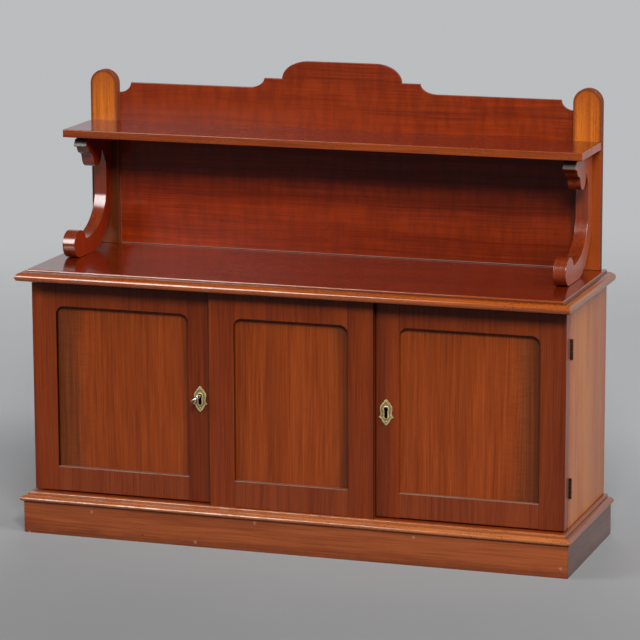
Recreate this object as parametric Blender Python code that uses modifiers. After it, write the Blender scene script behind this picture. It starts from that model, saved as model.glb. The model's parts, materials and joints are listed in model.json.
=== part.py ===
"""A small polished mahogany cupboard: a plinth, two framed doors beside a fixed centre frame, a moulded top
and an open shelf on scroll brackets. Metres, +Z up, front to -Y, origin under the middle of the base."""

import math

import bmesh
import bpy
from mathutils import Vector

# Fits
FIT = 0.0003  # gap between pieces that touch
MEETING_GAP = 0.0012  # between a door's free edge and the centre frame
ARRIS = 0.0008  # softened edge of a board

# Whole height
HEIGHT = 0.7013

# Plinth and base moulding
PLINTH_WIDTH = 0.850
PLINTH_DEPTH = 0.2605
PLINTH_HEIGHT = 0.0486
PLINTH_BOARD = 0.018
CORNER_BLOCK = 0.028
BEAD_REACH = 0.0045  # nose of the base moulding, beyond the plinth face
BEAD_HEIGHT = 0.0095
BEAD_NOSE_HEIGHT = 0.0036  # of the nose, above the plinth
LEDGE_SETBACK = 0.0056  # fillet above the bead, inside the plinth face
LEDGE_HEIGHT = 0.004

# Carcase
CARCASE_SETBACK = 0.0112  # sides, inside the plinth face
SIDE_THICKNESS = 0.018
CARCASE_BACK_THICKNESS = 0.008
FRONT_RAIL_HEIGHT = 0.030
FRONT_RAIL_DEPTH = 0.018
POST_WIDTH = 0.030
POST_DEPTH = 0.032
INNER_SHELF_RISE = 0.146  # its underside, above the bottom board
INNER_SHELF_THICKNESS = 0.012
INNER_SHELF_SETBACK = 0.010  # behind the posts
CLEAT = 0.015

# Moulded top
TOP_REACH = 0.0126  # front nose, beyond the plinth face
TOP_SIDE_REACH = 0.0025
TOP_THICKNESS = 0.0166
TOP_NOSE_HEIGHT = 0.0062  # of the nose, above the underside
TOP_UNDERCUT = 0.0045  # underside edge, inside the nose
TOP_FILLET_INSET = 0.0148
TOP_FILLET_HEIGHT = 0.002
TOP_FILLET_STEP = 0.001

# Doors and the fixed centre frame
DOOR_SETBACK = 0.0209  # door face, behind the plinth face
DOOR_THICKNESS = 0.022
DOOR_FLOOR_GAP = 0.0022
DOOR_HEAD_GAP = 0.0066
HINGE_STILE = 0.0388
LOCK_STILE = 0.0353
TOP_RAIL = 0.0344
BOTTOM_RAIL = 0.0374
CENTRE_WIDTH = 0.255
CENTRE_PROUD = 0.0095  # centre frame, in front of the doors
CENTRE_STILE = 0.039
LIP = 0.0078  # frame thickness in front of a panel
REBATE = 0.006
PANEL_THICKNESS = 0.007
CORNER_RADIUS = 0.012
CORNER_TIP_ANGLE = math.radians(20)  # where a rounded corner's thin tip is cut off

# Hinges
HINGE_LENGTH = 0.030
HINGE_TOP_INSET = 0.0545  # middle of the upper hinge, below the door's top
HINGE_BOTTOM_INSET = 0.0584
HINGE_GAP = 0.0009  # between the door and the edge of the carcase side
LEAF_WIDTH = 0.015
LEAF_THICKNESS = 0.0012
LEAF_PLAY = 0.0004  # between the two leaves
KNUCKLE_RADIUS = 0.0025
KNUCKLES = 5
PIN_RADIUS = 0.0011
PIN_PLAY = 0.00015

# Locks
LOCK_INSET = 0.016  # key axis, from the door's free edge
LOCK_RISE = 0.1626  # key axis, above the door's bottom
KEYHOLE_RADIUS = 0.003
KEYHOLE_SLOT = 0.0036
KEYHOLE_DROP = 0.0136  # slot's end, below the key axis
ESCUTCHEON_TOP = 0.0148  # above the key axis
ESCUTCHEON_TAIL = 0.0258  # below the key axis
ESCUTCHEON_HALF = 0.0099  # half the width of its body
ESCUTCHEON_EAR = 0.0119  # half the width at its ears
ESCUTCHEON_THICKNESS = 0.002
ESCUTCHEON_KNOB = 0.34  # radius of its knob, as a share of half its width
# Shares of half its width and of the shoulder's height.
ESCUTCHEON_SHOULDERS = ((0.59, 1.19), (0.77, 0.86), (1.0, 0.4), (1.0, 0.1))
ESCUTCHEON_WAIST = (0.92, 0.62)  # shares of half its width and of the depth of its ears
ESCUTCHEON_EAR_DEPTH = 0.51  # as a share of its tail
ESCUTCHEON_TAPER = ((0.88, 0.6), (0.59, 0.787))  # shares of half its width and of its tail
LOCK_CASE_WIDTH = 0.033
LOCK_CASE_HEIGHT = 0.046
LOCK_CASE_DEPTH = 0.0115
LOCK_WALL = 0.0012
BOLT_HEIGHT = 0.012
BOLT_THICKNESS = 0.0028
BOLT_RISE = 0.008  # middle of the bolt, above the key axis
BOLT_THROW = 0.006
BOLT_REST_OUT = 0.0012  # already drawn out by the key's rest turn
BOLT_PLAY = 0.0005
MORTISE_EXTRA = 0.0015

# Key
KEY_REACH = 0.032  # bow's end, in front of the door
KEY_BOW_RADIUS = 0.0078
KEY_BOW_WIRE = 0.0017
KEY_SHANK_RADIUS = 0.0022
KEY_COLLAR_RADIUS = 0.0031
KEY_COLLAR_LENGTH = 0.003
KEY_BIT_DROP = 0.0096
KEY_BIT_WIDTH = 0.0045
KEY_BIT_THICKNESS = 0.0022
KEY_REST_TURN = math.radians(58)  # clockwise from bit down, seen from the front

# Gallery above the top
GALLERY_INSET = 0.0191  # its ends, inside the plinth face
UPRIGHT_WIDTH = 0.0435
UPRIGHT_THICKNESS = 0.0145
UPRIGHT_ABOVE = 0.0194  # top of an upright, above the back board's straight edge
BACK_BOARD_THICKNESS = 0.0065
BACK_BOARD_RISE = 0.2516  # its straight edge, above the cabinet top
CREST_FLAT = 0.0528  # half the flat at the middle of the crest
CREST_ROUND = (0.042, 0.028)  # length and height of its rounded shoulder
CREST_LEDGE = 0.029
CREST_COVE = (0.0266, 0.015)
CREST_END_COVE = (0.020, 0.0155)
SHELF_RISE = 0.193  # its top, above the cabinet top
SHELF_THICKNESS = 0.012
SHELF_DEPTH = 0.1137  # in front of the uprights

# Scroll brackets: reach is in front of the upright, rise above the cabinet top, drop below the shelf
BRACKET_THICKNESS = 0.018
BRACKET_SETBACK = 0.0092  # nose, behind the shelf's front edge
BRACKET_NOSE = (0.006, 0.009)  # half length and half height of the nose
BRACKET_STEP_DROP = 0.027
BRACKET_SCROLL_HEIGHT = 0.0165
BRACKET_SCROLL_DROP = 0.035
BRACKET_NOTCH_DROP = 0.030
BRACKET_NECK = 0.0225
BRACKET_BOW_RISE = 0.088  # middle of the bow's round
BRACKET_CUSP_RISE = 0.0255
BRACKET_CUSP_GAP = 0.001
BRACKET_FOOT_REACH = 0.153
BRACKET_FOOT = (0.0255, 0.0193)  # half length and half height of the foot scroll
BRACKET_FOOT_START = 160  # where its round begins, in degrees
BRACKET_HEEL_SETBACK = 0.020  # from the cusp to where the foot leaves the cabinet top
BRACKET_BACK_RISE = 0.054  # where the back meets the upright
# Places of the step, small scroll and notch between the neck and the nose, as shares of that distance
BRACKET_STEP_SHARE = 0.725
BRACKET_SCROLL_SHARE = 0.455
BRACKET_SCROLL_HALF_SHARE = 0.255
BRACKET_NOTCH_SHARE = 0.16
BRACKET_BACK_HANDLES = ((0.55, 0.0), (0.15, 0.7))  # of the back's curve: shares of the heel and of its rise

# Facets
ARC_STEPS = 6
ROUND_SIDES = 12
SMALL_SIDES = 8
BOW_SIDES = 16
WIRE_SIDES = 6
BEVEL_STEPS = 2
SMOOTH_ANGLE = math.radians(40)
MERGE = 0.00001

# Finishes: colour, roughness, metallic
POLISHED = ((0.20, 0.045, 0.018, 1.0), 0.28, 0.0)
PANEL_WOOD = ((0.27, 0.075, 0.022, 1.0), 0.30, 0.0)
SIDE_WOOD = ((0.30, 0.11, 0.045, 1.0), 0.36, 0.0)
HIDDEN_WOOD = ((0.38, 0.22, 0.11, 1.0), 0.70, 0.0)
CAST_BRASS = ((0.48, 0.38, 0.20, 1.0), 0.42, 1.0)
HINGE_BRASS = ((0.13, 0.075, 0.035, 1.0), 0.55, 1.0)
LOCK_IRON = ((0.20, 0.19, 0.18, 1.0), 0.50, 1.0)
KEY_STEEL = ((0.62, 0.60, 0.57, 1.0), 0.30, 1.0)

# Places worked out from the sizes
PLINTH_HALF = PLINTH_WIDTH / 2
PLINTH_Y = -(PLINTH_DEPTH - max(TOP_REACH, BEAD_REACH)) / 2
BACK_Y = PLINTH_Y + PLINTH_DEPTH
CARCASE_HALF = PLINTH_HALF - CARCASE_SETBACK
INSIDE_HALF = CARCASE_HALF - SIDE_THICKNESS
BASE_Z = PLINTH_HEIGHT + FIT
LEDGE_Z = BASE_Z + BEAD_HEIGHT + LEDGE_HEIGHT
FLOOR_Z = LEDGE_Z + FIT
DOOR_Y = PLINTH_Y + DOOR_SETBACK
DOOR_BACK_Y = DOOR_Y + DOOR_THICKNESS
DOOR_Z = LEDGE_Z + DOOR_FLOOR_GAP
DOOR_FREE_X = CENTRE_WIDTH / 2 + MEETING_GAP
GALLERY_Z = HEIGHT - BACK_BOARD_RISE - CREST_COVE[1] - CREST_ROUND[1]
SURFACE_Z = GALLERY_Z - FIT
TOP_Z = SURFACE_Z - TOP_THICKNESS
DOOR_TOP_Z = TOP_Z - DOOR_HEAD_GAP
CENTRE_Y = DOOR_Y - CENTRE_PROUD
CENTRE_BACK_Y = CENTRE_Y + DOOR_THICKNESS
SIDE_Y = DOOR_BACK_Y + HINGE_GAP
HINGE_X = CARCASE_HALF + KNUCKLE_RADIUS + FIT
HINGE_Y = DOOR_BACK_Y + HINGE_GAP / 2
RAIL_Y = DOOR_BACK_Y + FIT
RAIL_Z = TOP_Z - FIT - FRONT_RAIL_HEIGHT
POST_Y = CENTRE_BACK_Y + FIT
CARCASE_BACK_Y = BACK_Y - CARCASE_BACK_THICKNESS
INNER_SHELF_Z = FLOOR_Z + INNER_SHELF_RISE
KEY_X = DOOR_FREE_X + LOCK_INSET
KEY_Z = DOOR_Z + LOCK_RISE
LOCK_Y = DOOR_BACK_Y + FIT
BOLT_Y = LOCK_Y + LOCK_CASE_DEPTH - LOCK_WALL - FIT - BOLT_THICKNESS
GALLERY_WIDTH = PLINTH_WIDTH - 2 * GALLERY_INSET
UPRIGHT_Y = BACK_Y - UPRIGHT_THICKNESS
UPRIGHT_X = (GALLERY_WIDTH - UPRIGHT_WIDTH) / 2
BACK_BOARD_Y = BACK_Y - BACK_BOARD_THICKNESS
BACK_BOARD_HALF = GALLERY_WIDTH / 2 - UPRIGHT_WIDTH - FIT
SHELF_TOP_Z = SURFACE_Z + SHELF_RISE
SHELF_Z = SHELF_TOP_Z - SHELF_THICKNESS
SIDES = (("left", -1), ("right", 1))

for leftover in list(bpy.data.objects):
    bpy.data.objects.remove(leftover, do_unlink=True)

PARTS = bpy.data.collections.new("tabletop_cupboard")
CUTTERS = bpy.data.collections.new("cutters")
for group in (PARTS, CUTTERS):
    bpy.context.scene.collection.children.link(group)


def finish(obj, look):
    """Give a piece its own material."""
    colour, roughness, metallic = look
    material = bpy.data.materials.new(obj.name + "_finish")
    material.use_nodes = True
    shader = material.node_tree.nodes["Principled BSDF"]
    shader.inputs["Base Color"].default_value = colour
    shader.inputs["Roughness"].default_value = roughness
    shader.inputs["Metallic"].default_value = metallic
    obj.data.materials.append(material)


def add_piece(name, mesh, look, location=(0, 0, 0), rotation=(0, 0, 0)):
    """Put a mesh in the parts as one named piece, or in the cutters where it has no finish."""
    obj = bpy.data.objects.new(name, mesh)
    obj.location = location
    obj.rotation_euler = rotation
    if look is None:
        CUTTERS.objects.link(obj)
        obj.hide_render = True
        obj.display_type = "WIRE"
    else:
        PARTS.objects.link(obj)
        finish(obj, look)
    return obj


def add_axis(name, location):
    """An empty on a joint's axis, for the pieces that turn or slide on it."""
    axis = bpy.data.objects.new(name, None)
    axis.location = location
    PARTS.objects.link(axis)
    return axis


def carry(axis, *pieces):
    """Parent pieces to a joint's axis, each where it already is."""
    for piece in pieces:
        piece.parent = axis
        piece.location = Vector(piece.location) - Vector(axis.location)


def soften(obj):
    """Round a board's edges a little."""
    bevel = obj.modifiers.new("arris", "BEVEL")
    bevel.width = ARRIS
    bevel.segments = BEVEL_STEPS
    bevel.limit_method = "ANGLE"


def cut(obj, cutter, operation="DIFFERENCE"):
    boolean = obj.modifiers.new(cutter.name, "BOOLEAN")
    boolean.operation = operation
    boolean.object = cutter


def add_board(name, xs, ys, zs, look, rounded=True):
    """A board that fills three spans. Unseen boards and cutters keep sharp edges."""
    low = Vector(min(span) for span in (xs, ys, zs))
    high = Vector(max(span) for span in (xs, ys, zs))
    bm = bmesh.new()
    bmesh.ops.create_cube(bm, size=1.0)
    bmesh.ops.scale(bm, vec=high - low, verts=bm.verts)
    mesh = bpy.data.meshes.new(name)
    bm.to_mesh(mesh)
    bm.free()
    obj = add_piece(name, mesh, look, (low + high) / 2)
    if rounded and look not in (None, HIDDEN_WOOD):
        soften(obj)
    return obj


def add_cylinder(name, radius, length, look, location, rotation=(0, 0, 0), sides=ROUND_SIDES):
    bm = bmesh.new()
    bmesh.ops.create_cone(bm, cap_ends=True, segments=sides, radius1=radius, radius2=radius, depth=length)
    mesh = bpy.data.meshes.new(name)
    bm.to_mesh(mesh)
    bm.free()
    mesh.shade_smooth()
    mesh.set_sharp_from_angle(angle=SMOOTH_ANGLE)
    return add_piece(name, mesh, look, location, rotation)


def arc(centre, half, start, end, steps=ARC_STEPS):
    """Points along an ellipse, from one angle to another in degrees."""
    angles = [math.radians(start + (end - start) * i / steps) for i in range(steps + 1)]
    return [(centre[0] + half[0] * math.cos(a), centre[1] + half[1] * math.sin(a)) for a in angles]


def bezier(start, first, second, end, steps=ARC_STEPS):
    """Points along a cubic curve with two handles."""
    points = []
    for i in range(steps + 1):
        t = i / steps
        weights = ((1 - t) ** 3, 3 * t * (1 - t) ** 2, 3 * t * t * (1 - t), t**3)
        corners = (start, first, second, end)
        across = sum(weight * corner[0] for weight, corner in zip(weights, corners))
        height = sum(weight * corner[1] for weight, corner in zip(weights, corners))
        points.append((across, height))
    return points


def add_outline(name, outlines, thickness, look, location, rotation=(0, 0, 0)):
    """A flat outline, with any holes, as thick as it says along its own Z."""
    curve = bpy.data.curves.new(name, "CURVE")
    curve.dimensions = "2D"
    curve.fill_mode = "BOTH"
    curve.extrude = thickness / 2
    for outline in outlines:
        spline = curve.splines.new("POLY")
        spline.points.add(len(outline) - 1)
        for point, (x, y) in zip(spline.points, outline):
            point.co = (x, y, 0, 1)
        spline.use_cyclic_u = True
    flat = bpy.data.objects.new(name, curve)
    CUTTERS.objects.link(flat)
    graph = bpy.context.evaluated_depsgraph_get()
    mesh = bpy.data.meshes.new_from_object(flat.evaluated_get(graph))
    bpy.data.objects.remove(flat, do_unlink=True)
    bpy.data.curves.remove(curve)
    bm = bmesh.new()
    bm.from_mesh(mesh)
    bmesh.ops.remove_doubles(bm, verts=bm.verts, dist=MERGE)
    bmesh.ops.recalc_face_normals(bm, faces=bm.faces)
    bm.to_mesh(mesh)
    bm.free()
    mesh.name = name
    return add_piece(name, mesh, look, location, rotation)


FACING = (math.radians(90), 0, 0)  # outline x is +X, y is +Z, and its thickness runs along Y
SIDEWAYS = (math.radians(90), 0, math.radians(-90))  # outline x is -Y, y is +Z, thickness along X


def extrude_section(name, points, shift, look):
    """A section drawn as one face and drawn out to where shift sends each of its corners."""
    bm = bmesh.new()
    face = bm.faces.new([bm.verts.new(point) for point in points])
    made = bmesh.ops.extrude_face_region(bm, geom=[face])
    for item in made["geom"]:
        if isinstance(item, bmesh.types.BMVert):
            item.co = shift(item.co)
    bmesh.ops.recalc_face_normals(bm, faces=bm.faces)
    mesh = bpy.data.meshes.new(name)
    bm.to_mesh(mesh)
    bm.free()
    return add_piece(name, mesh, look)


def mitred_lengths(prefix, section, look):
    """A section of (outward, height) points run round the front, left and right of the plinth line."""
    front = [(-(PLINTH_HALF + out - FIT), PLINTH_Y - out, z) for out, z in section]
    extrude_section(prefix + "_front", front, lambda p: Vector((-p.x, p.y, p.z)), look)
    for word, side in SIDES:
        points = [(side * (PLINTH_HALF + out), PLINTH_Y - out + FIT, z) for out, z in section]
        extrude_section(f"{prefix}_{word}", points, lambda p: Vector((p.x, BACK_Y, p.z)), look)


def make_base():
    board = [(-PLINTH_BOARD, 0), (0, 0), (0, PLINTH_HEIGHT), (-PLINTH_BOARD, PLINTH_HEIGHT)]
    mitred_lengths("plinth", board, POLISHED)
    inside = PLINTH_HALF - PLINTH_BOARD - FIT
    heights = (0, PLINTH_HEIGHT)
    add_board("plinth_back", (-inside, inside), (BACK_Y - PLINTH_BOARD, BACK_Y), heights, HIDDEN_WOOD)
    front = PLINTH_Y + PLINTH_BOARD + FIT
    for word, side in SIDES:
        across = (side * inside, side * (inside - CORNER_BLOCK))
        block_ys = (front, front + CORNER_BLOCK)
        add_board(f"{word}_corner_block", across, block_ys, (FIT, PLINTH_HEIGHT), HIDDEN_WOOD)

    inner = -(CARCASE_SETBACK - FIT)
    nose = BASE_Z + BEAD_NOSE_HEIGHT
    section = [(inner, BASE_Z)]
    section += arc((0, nose), (BEAD_REACH, BEAD_NOSE_HEIGHT), -90, 0)
    upper = (BEAD_REACH + LEDGE_SETBACK, BEAD_HEIGHT - BEAD_NOSE_HEIGHT)
    section += arc((-LEDGE_SETBACK, nose), upper, 0, 90)[1:]
    section += [(-LEDGE_SETBACK, LEDGE_Z), (inner, LEDGE_Z)]
    mitred_lengths("base_bead", section, POLISHED)


def make_carcase():
    across = (-CARCASE_HALF, CARCASE_HALF)
    inside = INSIDE_HALF - FIT
    heights = (FLOOR_Z, TOP_Z - FIT)
    add_board("bottom_board", across, (PLINTH_Y + CARCASE_SETBACK, BACK_Y), (BASE_Z, LEDGE_Z), SIDE_WOOD)
    add_board("carcase_back", (-inside, inside), (CARCASE_BACK_Y, BACK_Y), heights, HIDDEN_WOOD)
    rail_ys = (RAIL_Y, RAIL_Y + FRONT_RAIL_DEPTH)
    add_board("front_top_rail", (-inside, inside), rail_ys, (RAIL_Z, heights[1]), HIDDEN_WOOD)
    shelf_ys = (POST_Y + POST_DEPTH + INNER_SHELF_SETBACK, CARCASE_BACK_Y - FIT)
    shelf_zs = (INNER_SHELF_Z, INNER_SHELF_Z + INNER_SHELF_THICKNESS)
    add_board("inner_shelf", (-inside, inside), shelf_ys, shelf_zs, HIDDEN_WOOD)
    for word, side in SIDES:
        side_xs = (side * INSIDE_HALF, side * CARCASE_HALF)
        panel = add_board(f"{word}_side", side_xs, (SIDE_Y, BACK_Y), heights, SIDE_WOOD)
        for cutter in HINGE_MORTISES[word]:
            cut(panel, cutter)
        cleat_xs = (side * inside, side * (inside - CLEAT))
        cleat_zs = (INNER_SHELF_Z - FIT - CLEAT, INNER_SHELF_Z - FIT)
        add_board(f"{word}_shelf_cleat", cleat_xs, shelf_ys, cleat_zs, HIDDEN_WOOD)
        outer = CENTRE_WIDTH / 2
        post_xs = (side * outer, side * (outer - POST_WIDTH))
        post_zs = (FLOOR_Z, RAIL_Z - FIT)
        post = add_board(f"{word}_post", post_xs, (POST_Y, POST_Y + POST_DEPTH), post_zs, HIDDEN_WOOD)
        cut(post, bolt_mortise(word, side, outer))


def bolt_mortise(word, side, outer):
    """The hollow in a post that a thrown bolt enters."""
    reach = BOLT_THROW + MORTISE_EXTRA
    ys = (BOLT_Y - BOLT_PLAY, BOLT_Y + BOLT_THICKNESS + BOLT_PLAY)
    half = BOLT_HEIGHT / 2 + BOLT_PLAY
    middle = KEY_Z + BOLT_RISE
    xs = (side * (outer + MORTISE_EXTRA), side * (outer - reach))
    return add_board(f"{word}_bolt_mortise", xs, ys, (middle - half, middle + half), None)


def make_top():
    """The top board, drawn up its moulded edge one step at a time."""
    nose = TOP_Z + TOP_NOSE_HEIGHT
    fillet = SURFACE_Z - TOP_FILLET_HEIGHT
    steps = arc((TOP_UNDERCUT, nose), (-TOP_UNDERCUT, TOP_NOSE_HEIGHT), -90, 0)
    upper = TOP_FILLET_INSET - TOP_FILLET_STEP
    steps += arc((upper, nose), (-upper, fillet - nose), 0, 90)[1:]
    steps += [(TOP_FILLET_INSET, fillet), (TOP_FILLET_INSET, SURFACE_Z)]
    bm = bmesh.new()
    bmesh.ops.create_grid(bm, x_segments=1, y_segments=1, size=1.0)
    face = bm.faces[:][0]
    corners = face.verts[:]
    for index, (inset, z) in enumerate(steps):
        if index:
            made = bmesh.ops.extrude_face_region(bm, geom=[face])
            if index > 1:
                bmesh.ops.delete(bm, geom=[face], context="FACES_ONLY")
            face = next(item for item in made["geom"] if isinstance(item, bmesh.types.BMFace))
            corners = face.verts[:]
        half = PLINTH_HALF + TOP_SIDE_REACH - inset
        for corner in corners:
            x = math.copysign(half, corner.co.x)
            is_back = corner.co.y > 0
            corner.co = (x, BACK_Y if is_back else PLINTH_Y - TOP_REACH + inset, z)
    bmesh.ops.recalc_face_normals(bm, faces=bm.faces)
    mesh = bpy.data.meshes.new("moulded_top")
    bm.to_mesh(mesh)
    bm.free()
    add_piece("moulded_top", mesh, POLISHED)


def make_frame(prefix, names, xs, zs, front, widths):
    """Two stiles, two rails and a panel in their rebate. Gives the five pieces."""
    inner = (xs[0] + widths[0], xs[1] - widths[1])
    ys = (front, front + DOOR_THICKNESS)
    opening_zs = (zs[0] + BOTTOM_RAIL, zs[1] - TOP_RAIL)
    between = (inner[0] + FIT, inner[1] - FIT)
    first = add_board(f"{prefix}_{names[0]}", (xs[0], inner[0]), ys, zs, POLISHED)
    second = add_board(f"{prefix}_{names[1]}", (inner[1], xs[1]), ys, zs, POLISHED)
    bottom = add_board(f"{prefix}_bottom_rail", between, ys, (zs[0], opening_zs[0]), POLISHED)

    tip = math.degrees(CORNER_TIP_ANGLE)
    radii = (CORNER_RADIUS, CORNER_RADIUS)
    springing = opening_zs[1] - CORNER_RADIUS
    left_corner = arc((inner[0] + CORNER_RADIUS, springing), radii, 180 - tip, 90)
    right_corner = arc((inner[1] - CORNER_RADIUS, springing), radii, 90, tip)
    outline = [(between[0], zs[1]), (between[0], left_corner[0][1])] + left_corner
    outline += right_corner + [(between[1], right_corner[-1][1]), (between[1], zs[1])]
    middle = front + DOOR_THICKNESS / 2
    top = add_outline(f"{prefix}_top_rail", [outline], DOOR_THICKNESS, POLISHED, (0, middle, 0), FACING)

    panel_xs = (inner[0] - REBATE, inner[1] + REBATE)
    panel_zs = (opening_zs[0] - REBATE, opening_zs[1] + REBATE)
    hollow_ys = (front + LIP, front + 2 * DOOR_THICKNESS)
    rebate = add_board(f"{prefix}_rebate", panel_xs, hollow_ys, panel_zs, None)
    for member in (first, second, bottom, top):
        cut(member, rebate)
    shrunk_xs = (panel_xs[0] + FIT, panel_xs[1] - FIT)
    shrunk_zs = (panel_zs[0] + FIT, panel_zs[1] - FIT)
    panel_ys = (front + LIP + FIT, front + LIP + FIT + PANEL_THICKNESS)
    panel = add_board(f"{prefix}_panel", shrunk_xs, panel_ys, shrunk_zs, PANEL_WOOD, rounded=False)
    return first, second, bottom, top, panel


def keyhole():
    """Round hole with a slot below it, round at its end, about the key axis."""
    half = KEYHOLE_SLOT / 2
    join = math.degrees(math.asin(half / KEYHOLE_RADIUS))
    hole = arc((0, 0), (KEYHOLE_RADIUS, KEYHOLE_RADIUS), -90 + join, 270 - join, 2 * ARC_STEPS)
    return hole + arc((0, half - KEYHOLE_DROP), (half, half), 180, 360)


def escutcheon_outline():
    """Knob, shoulders, drawn-in sides, ears and a pointed tail, right half then mirrored."""
    knob = ESCUTCHEON_HALF * ESCUTCHEON_KNOB
    shoulder = KEYHOLE_RADIUS + knob
    ear = -ESCUTCHEON_TAIL * ESCUTCHEON_EAR_DEPTH
    waist = (ESCUTCHEON_HALF * ESCUTCHEON_WAIST[0], ear * ESCUTCHEON_WAIST[1])
    half = arc((0, ESCUTCHEON_TOP - knob), (knob, knob), 90, 0)
    half += [(ESCUTCHEON_HALF * across, shoulder * up) for across, up in ESCUTCHEON_SHOULDERS]
    half += [waist, (ESCUTCHEON_EAR, ear)]
    half += [(ESCUTCHEON_HALF * across, -ESCUTCHEON_TAIL * down) for across, down in ESCUTCHEON_TAPER]
    tail = (0, -ESCUTCHEON_TAIL)
    return half + [tail] + [(-x, y) for x, y in reversed(half[1:])]


def make_lock(word, side, stile, axis):
    """Escutcheon, lock case and bolt of one door, with the keyhole through its lock stile."""
    key_x = side * KEY_X
    through = 3 * DOOR_THICKNESS
    hole = add_outline(f"{word}_keyhole", [keyhole()], through, None, (key_x, DOOR_BACK_Y, KEY_Z), FACING)
    cut(stile, hole)
    plate_y = DOOR_Y - FIT - ESCUTCHEON_THICKNESS / 2
    plate = [escutcheon_outline(), keyhole()]
    place = (key_x, plate_y, KEY_Z)
    escutcheon = add_outline(f"{word}_escutcheon", plate, ESCUTCHEON_THICKNESS, CAST_BRASS, place, FACING)

    free_edge = DOOR_FREE_X + FIT
    xs = (free_edge, free_edge + LOCK_CASE_WIDTH)
    ys = (LOCK_Y, LOCK_Y + LOCK_CASE_DEPTH)
    zs = (KEY_Z - LOCK_CASE_HEIGHT / 2, KEY_Z + LOCK_CASE_HEIGHT / 2)
    case = add_board(f"{word}_lock_case", (side * xs[0], side * xs[1]), ys, zs, LOCK_IRON)
    inner_xs = (side * (xs[0] + LOCK_WALL), side * (xs[1] - LOCK_WALL))
    inner_ys = (ys[0] - LOCK_CASE_DEPTH, ys[1] - LOCK_WALL)
    inner_zs = (zs[0] + LOCK_WALL, zs[1] - LOCK_WALL)
    cut(case, add_board(f"{word}_case_hollow", inner_xs, inner_ys, inner_zs, None))

    middle = KEY_Z + BOLT_RISE
    bolt_ys = (BOLT_Y, BOLT_Y + BOLT_THICKNESS)
    bolt_zs = (middle - BOLT_HEIGHT / 2, middle + BOLT_HEIGHT / 2)
    slot_xs = (side * (xs[0] - LOCK_WALL), side * (xs[0] + 2 * LOCK_WALL))
    slot_ys = (bolt_ys[0] - FIT, bolt_ys[1] + FIT / 2)
    slot_zs = (bolt_zs[0] - FIT, bolt_zs[1] + FIT)
    cut(case, add_board(f"{word}_bolt_slot", slot_xs, slot_ys, slot_zs, None))
    tail = xs[1] - LOCK_WALL - FIT - BOLT_REST_OUT
    bolt_xs = (side * (xs[0] + FIT), side * tail)
    bolt = add_board(f"{word}_lock_bolt", bolt_xs, bolt_ys, bolt_zs, LOCK_IRON, rounded=False)
    slide = add_axis(f"{word}_bolt_axis", bolt.location.copy())
    carry(slide, bolt)
    carry(axis, escutcheon, case, slide)


def make_key(axis):
    """Ring bow, collar, shank and bit in one piece, drawn bit down and then turned to its rest."""
    front = DOOR_Y - KEY_REACH
    end = BOLT_Y - FIT
    bow_end = front + 2 * KEY_BOW_RADIUS
    shank_start = bow_end - KEY_BOW_WIRE
    turner = add_axis("key_axis", (-KEY_X, DOOR_Y, KEY_Z))
    place = (-KEY_X, (shank_start + end) / 2, KEY_Z)
    shank = add_cylinder("key", KEY_SHANK_RADIUS, end - shank_start, KEY_STEEL, place, FACING)
    place = (-KEY_X, bow_end + KEY_COLLAR_LENGTH, KEY_Z)
    collar = add_cylinder("key_collar", KEY_COLLAR_RADIUS, KEY_COLLAR_LENGTH, None, place, FACING)
    bpy.ops.mesh.primitive_torus_add(
        major_segments=BOW_SIDES,
        minor_segments=WIRE_SIDES,
        major_radius=KEY_BOW_RADIUS - KEY_BOW_WIRE,
        minor_radius=KEY_BOW_WIRE,
        rotation=(0, math.radians(90), 0),
    )
    ring = bpy.context.object
    ring_mesh = ring.data
    ring_mesh.transform(ring.matrix_world)
    bpy.data.objects.remove(ring, do_unlink=True)
    ring = add_piece("key_bow", ring_mesh, None, (-KEY_X, front + KEY_BOW_RADIUS, KEY_Z))
    half = KEY_BIT_THICKNESS / 2
    bit_ys = (LOCK_Y + FIT, LOCK_Y + FIT + KEY_BIT_WIDTH)
    bit = add_board("key_bit", (-KEY_X - half, -KEY_X + half), bit_ys, (KEY_Z - KEY_BIT_DROP, KEY_Z), None)
    for extra in (collar, ring, bit):
        cut(shank, extra, "UNION")
    carry(turner, shank, collar, ring, bit)
    turner.rotation_euler = (0, KEY_REST_TURN, 0)
    carry(axis, turner)


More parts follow.
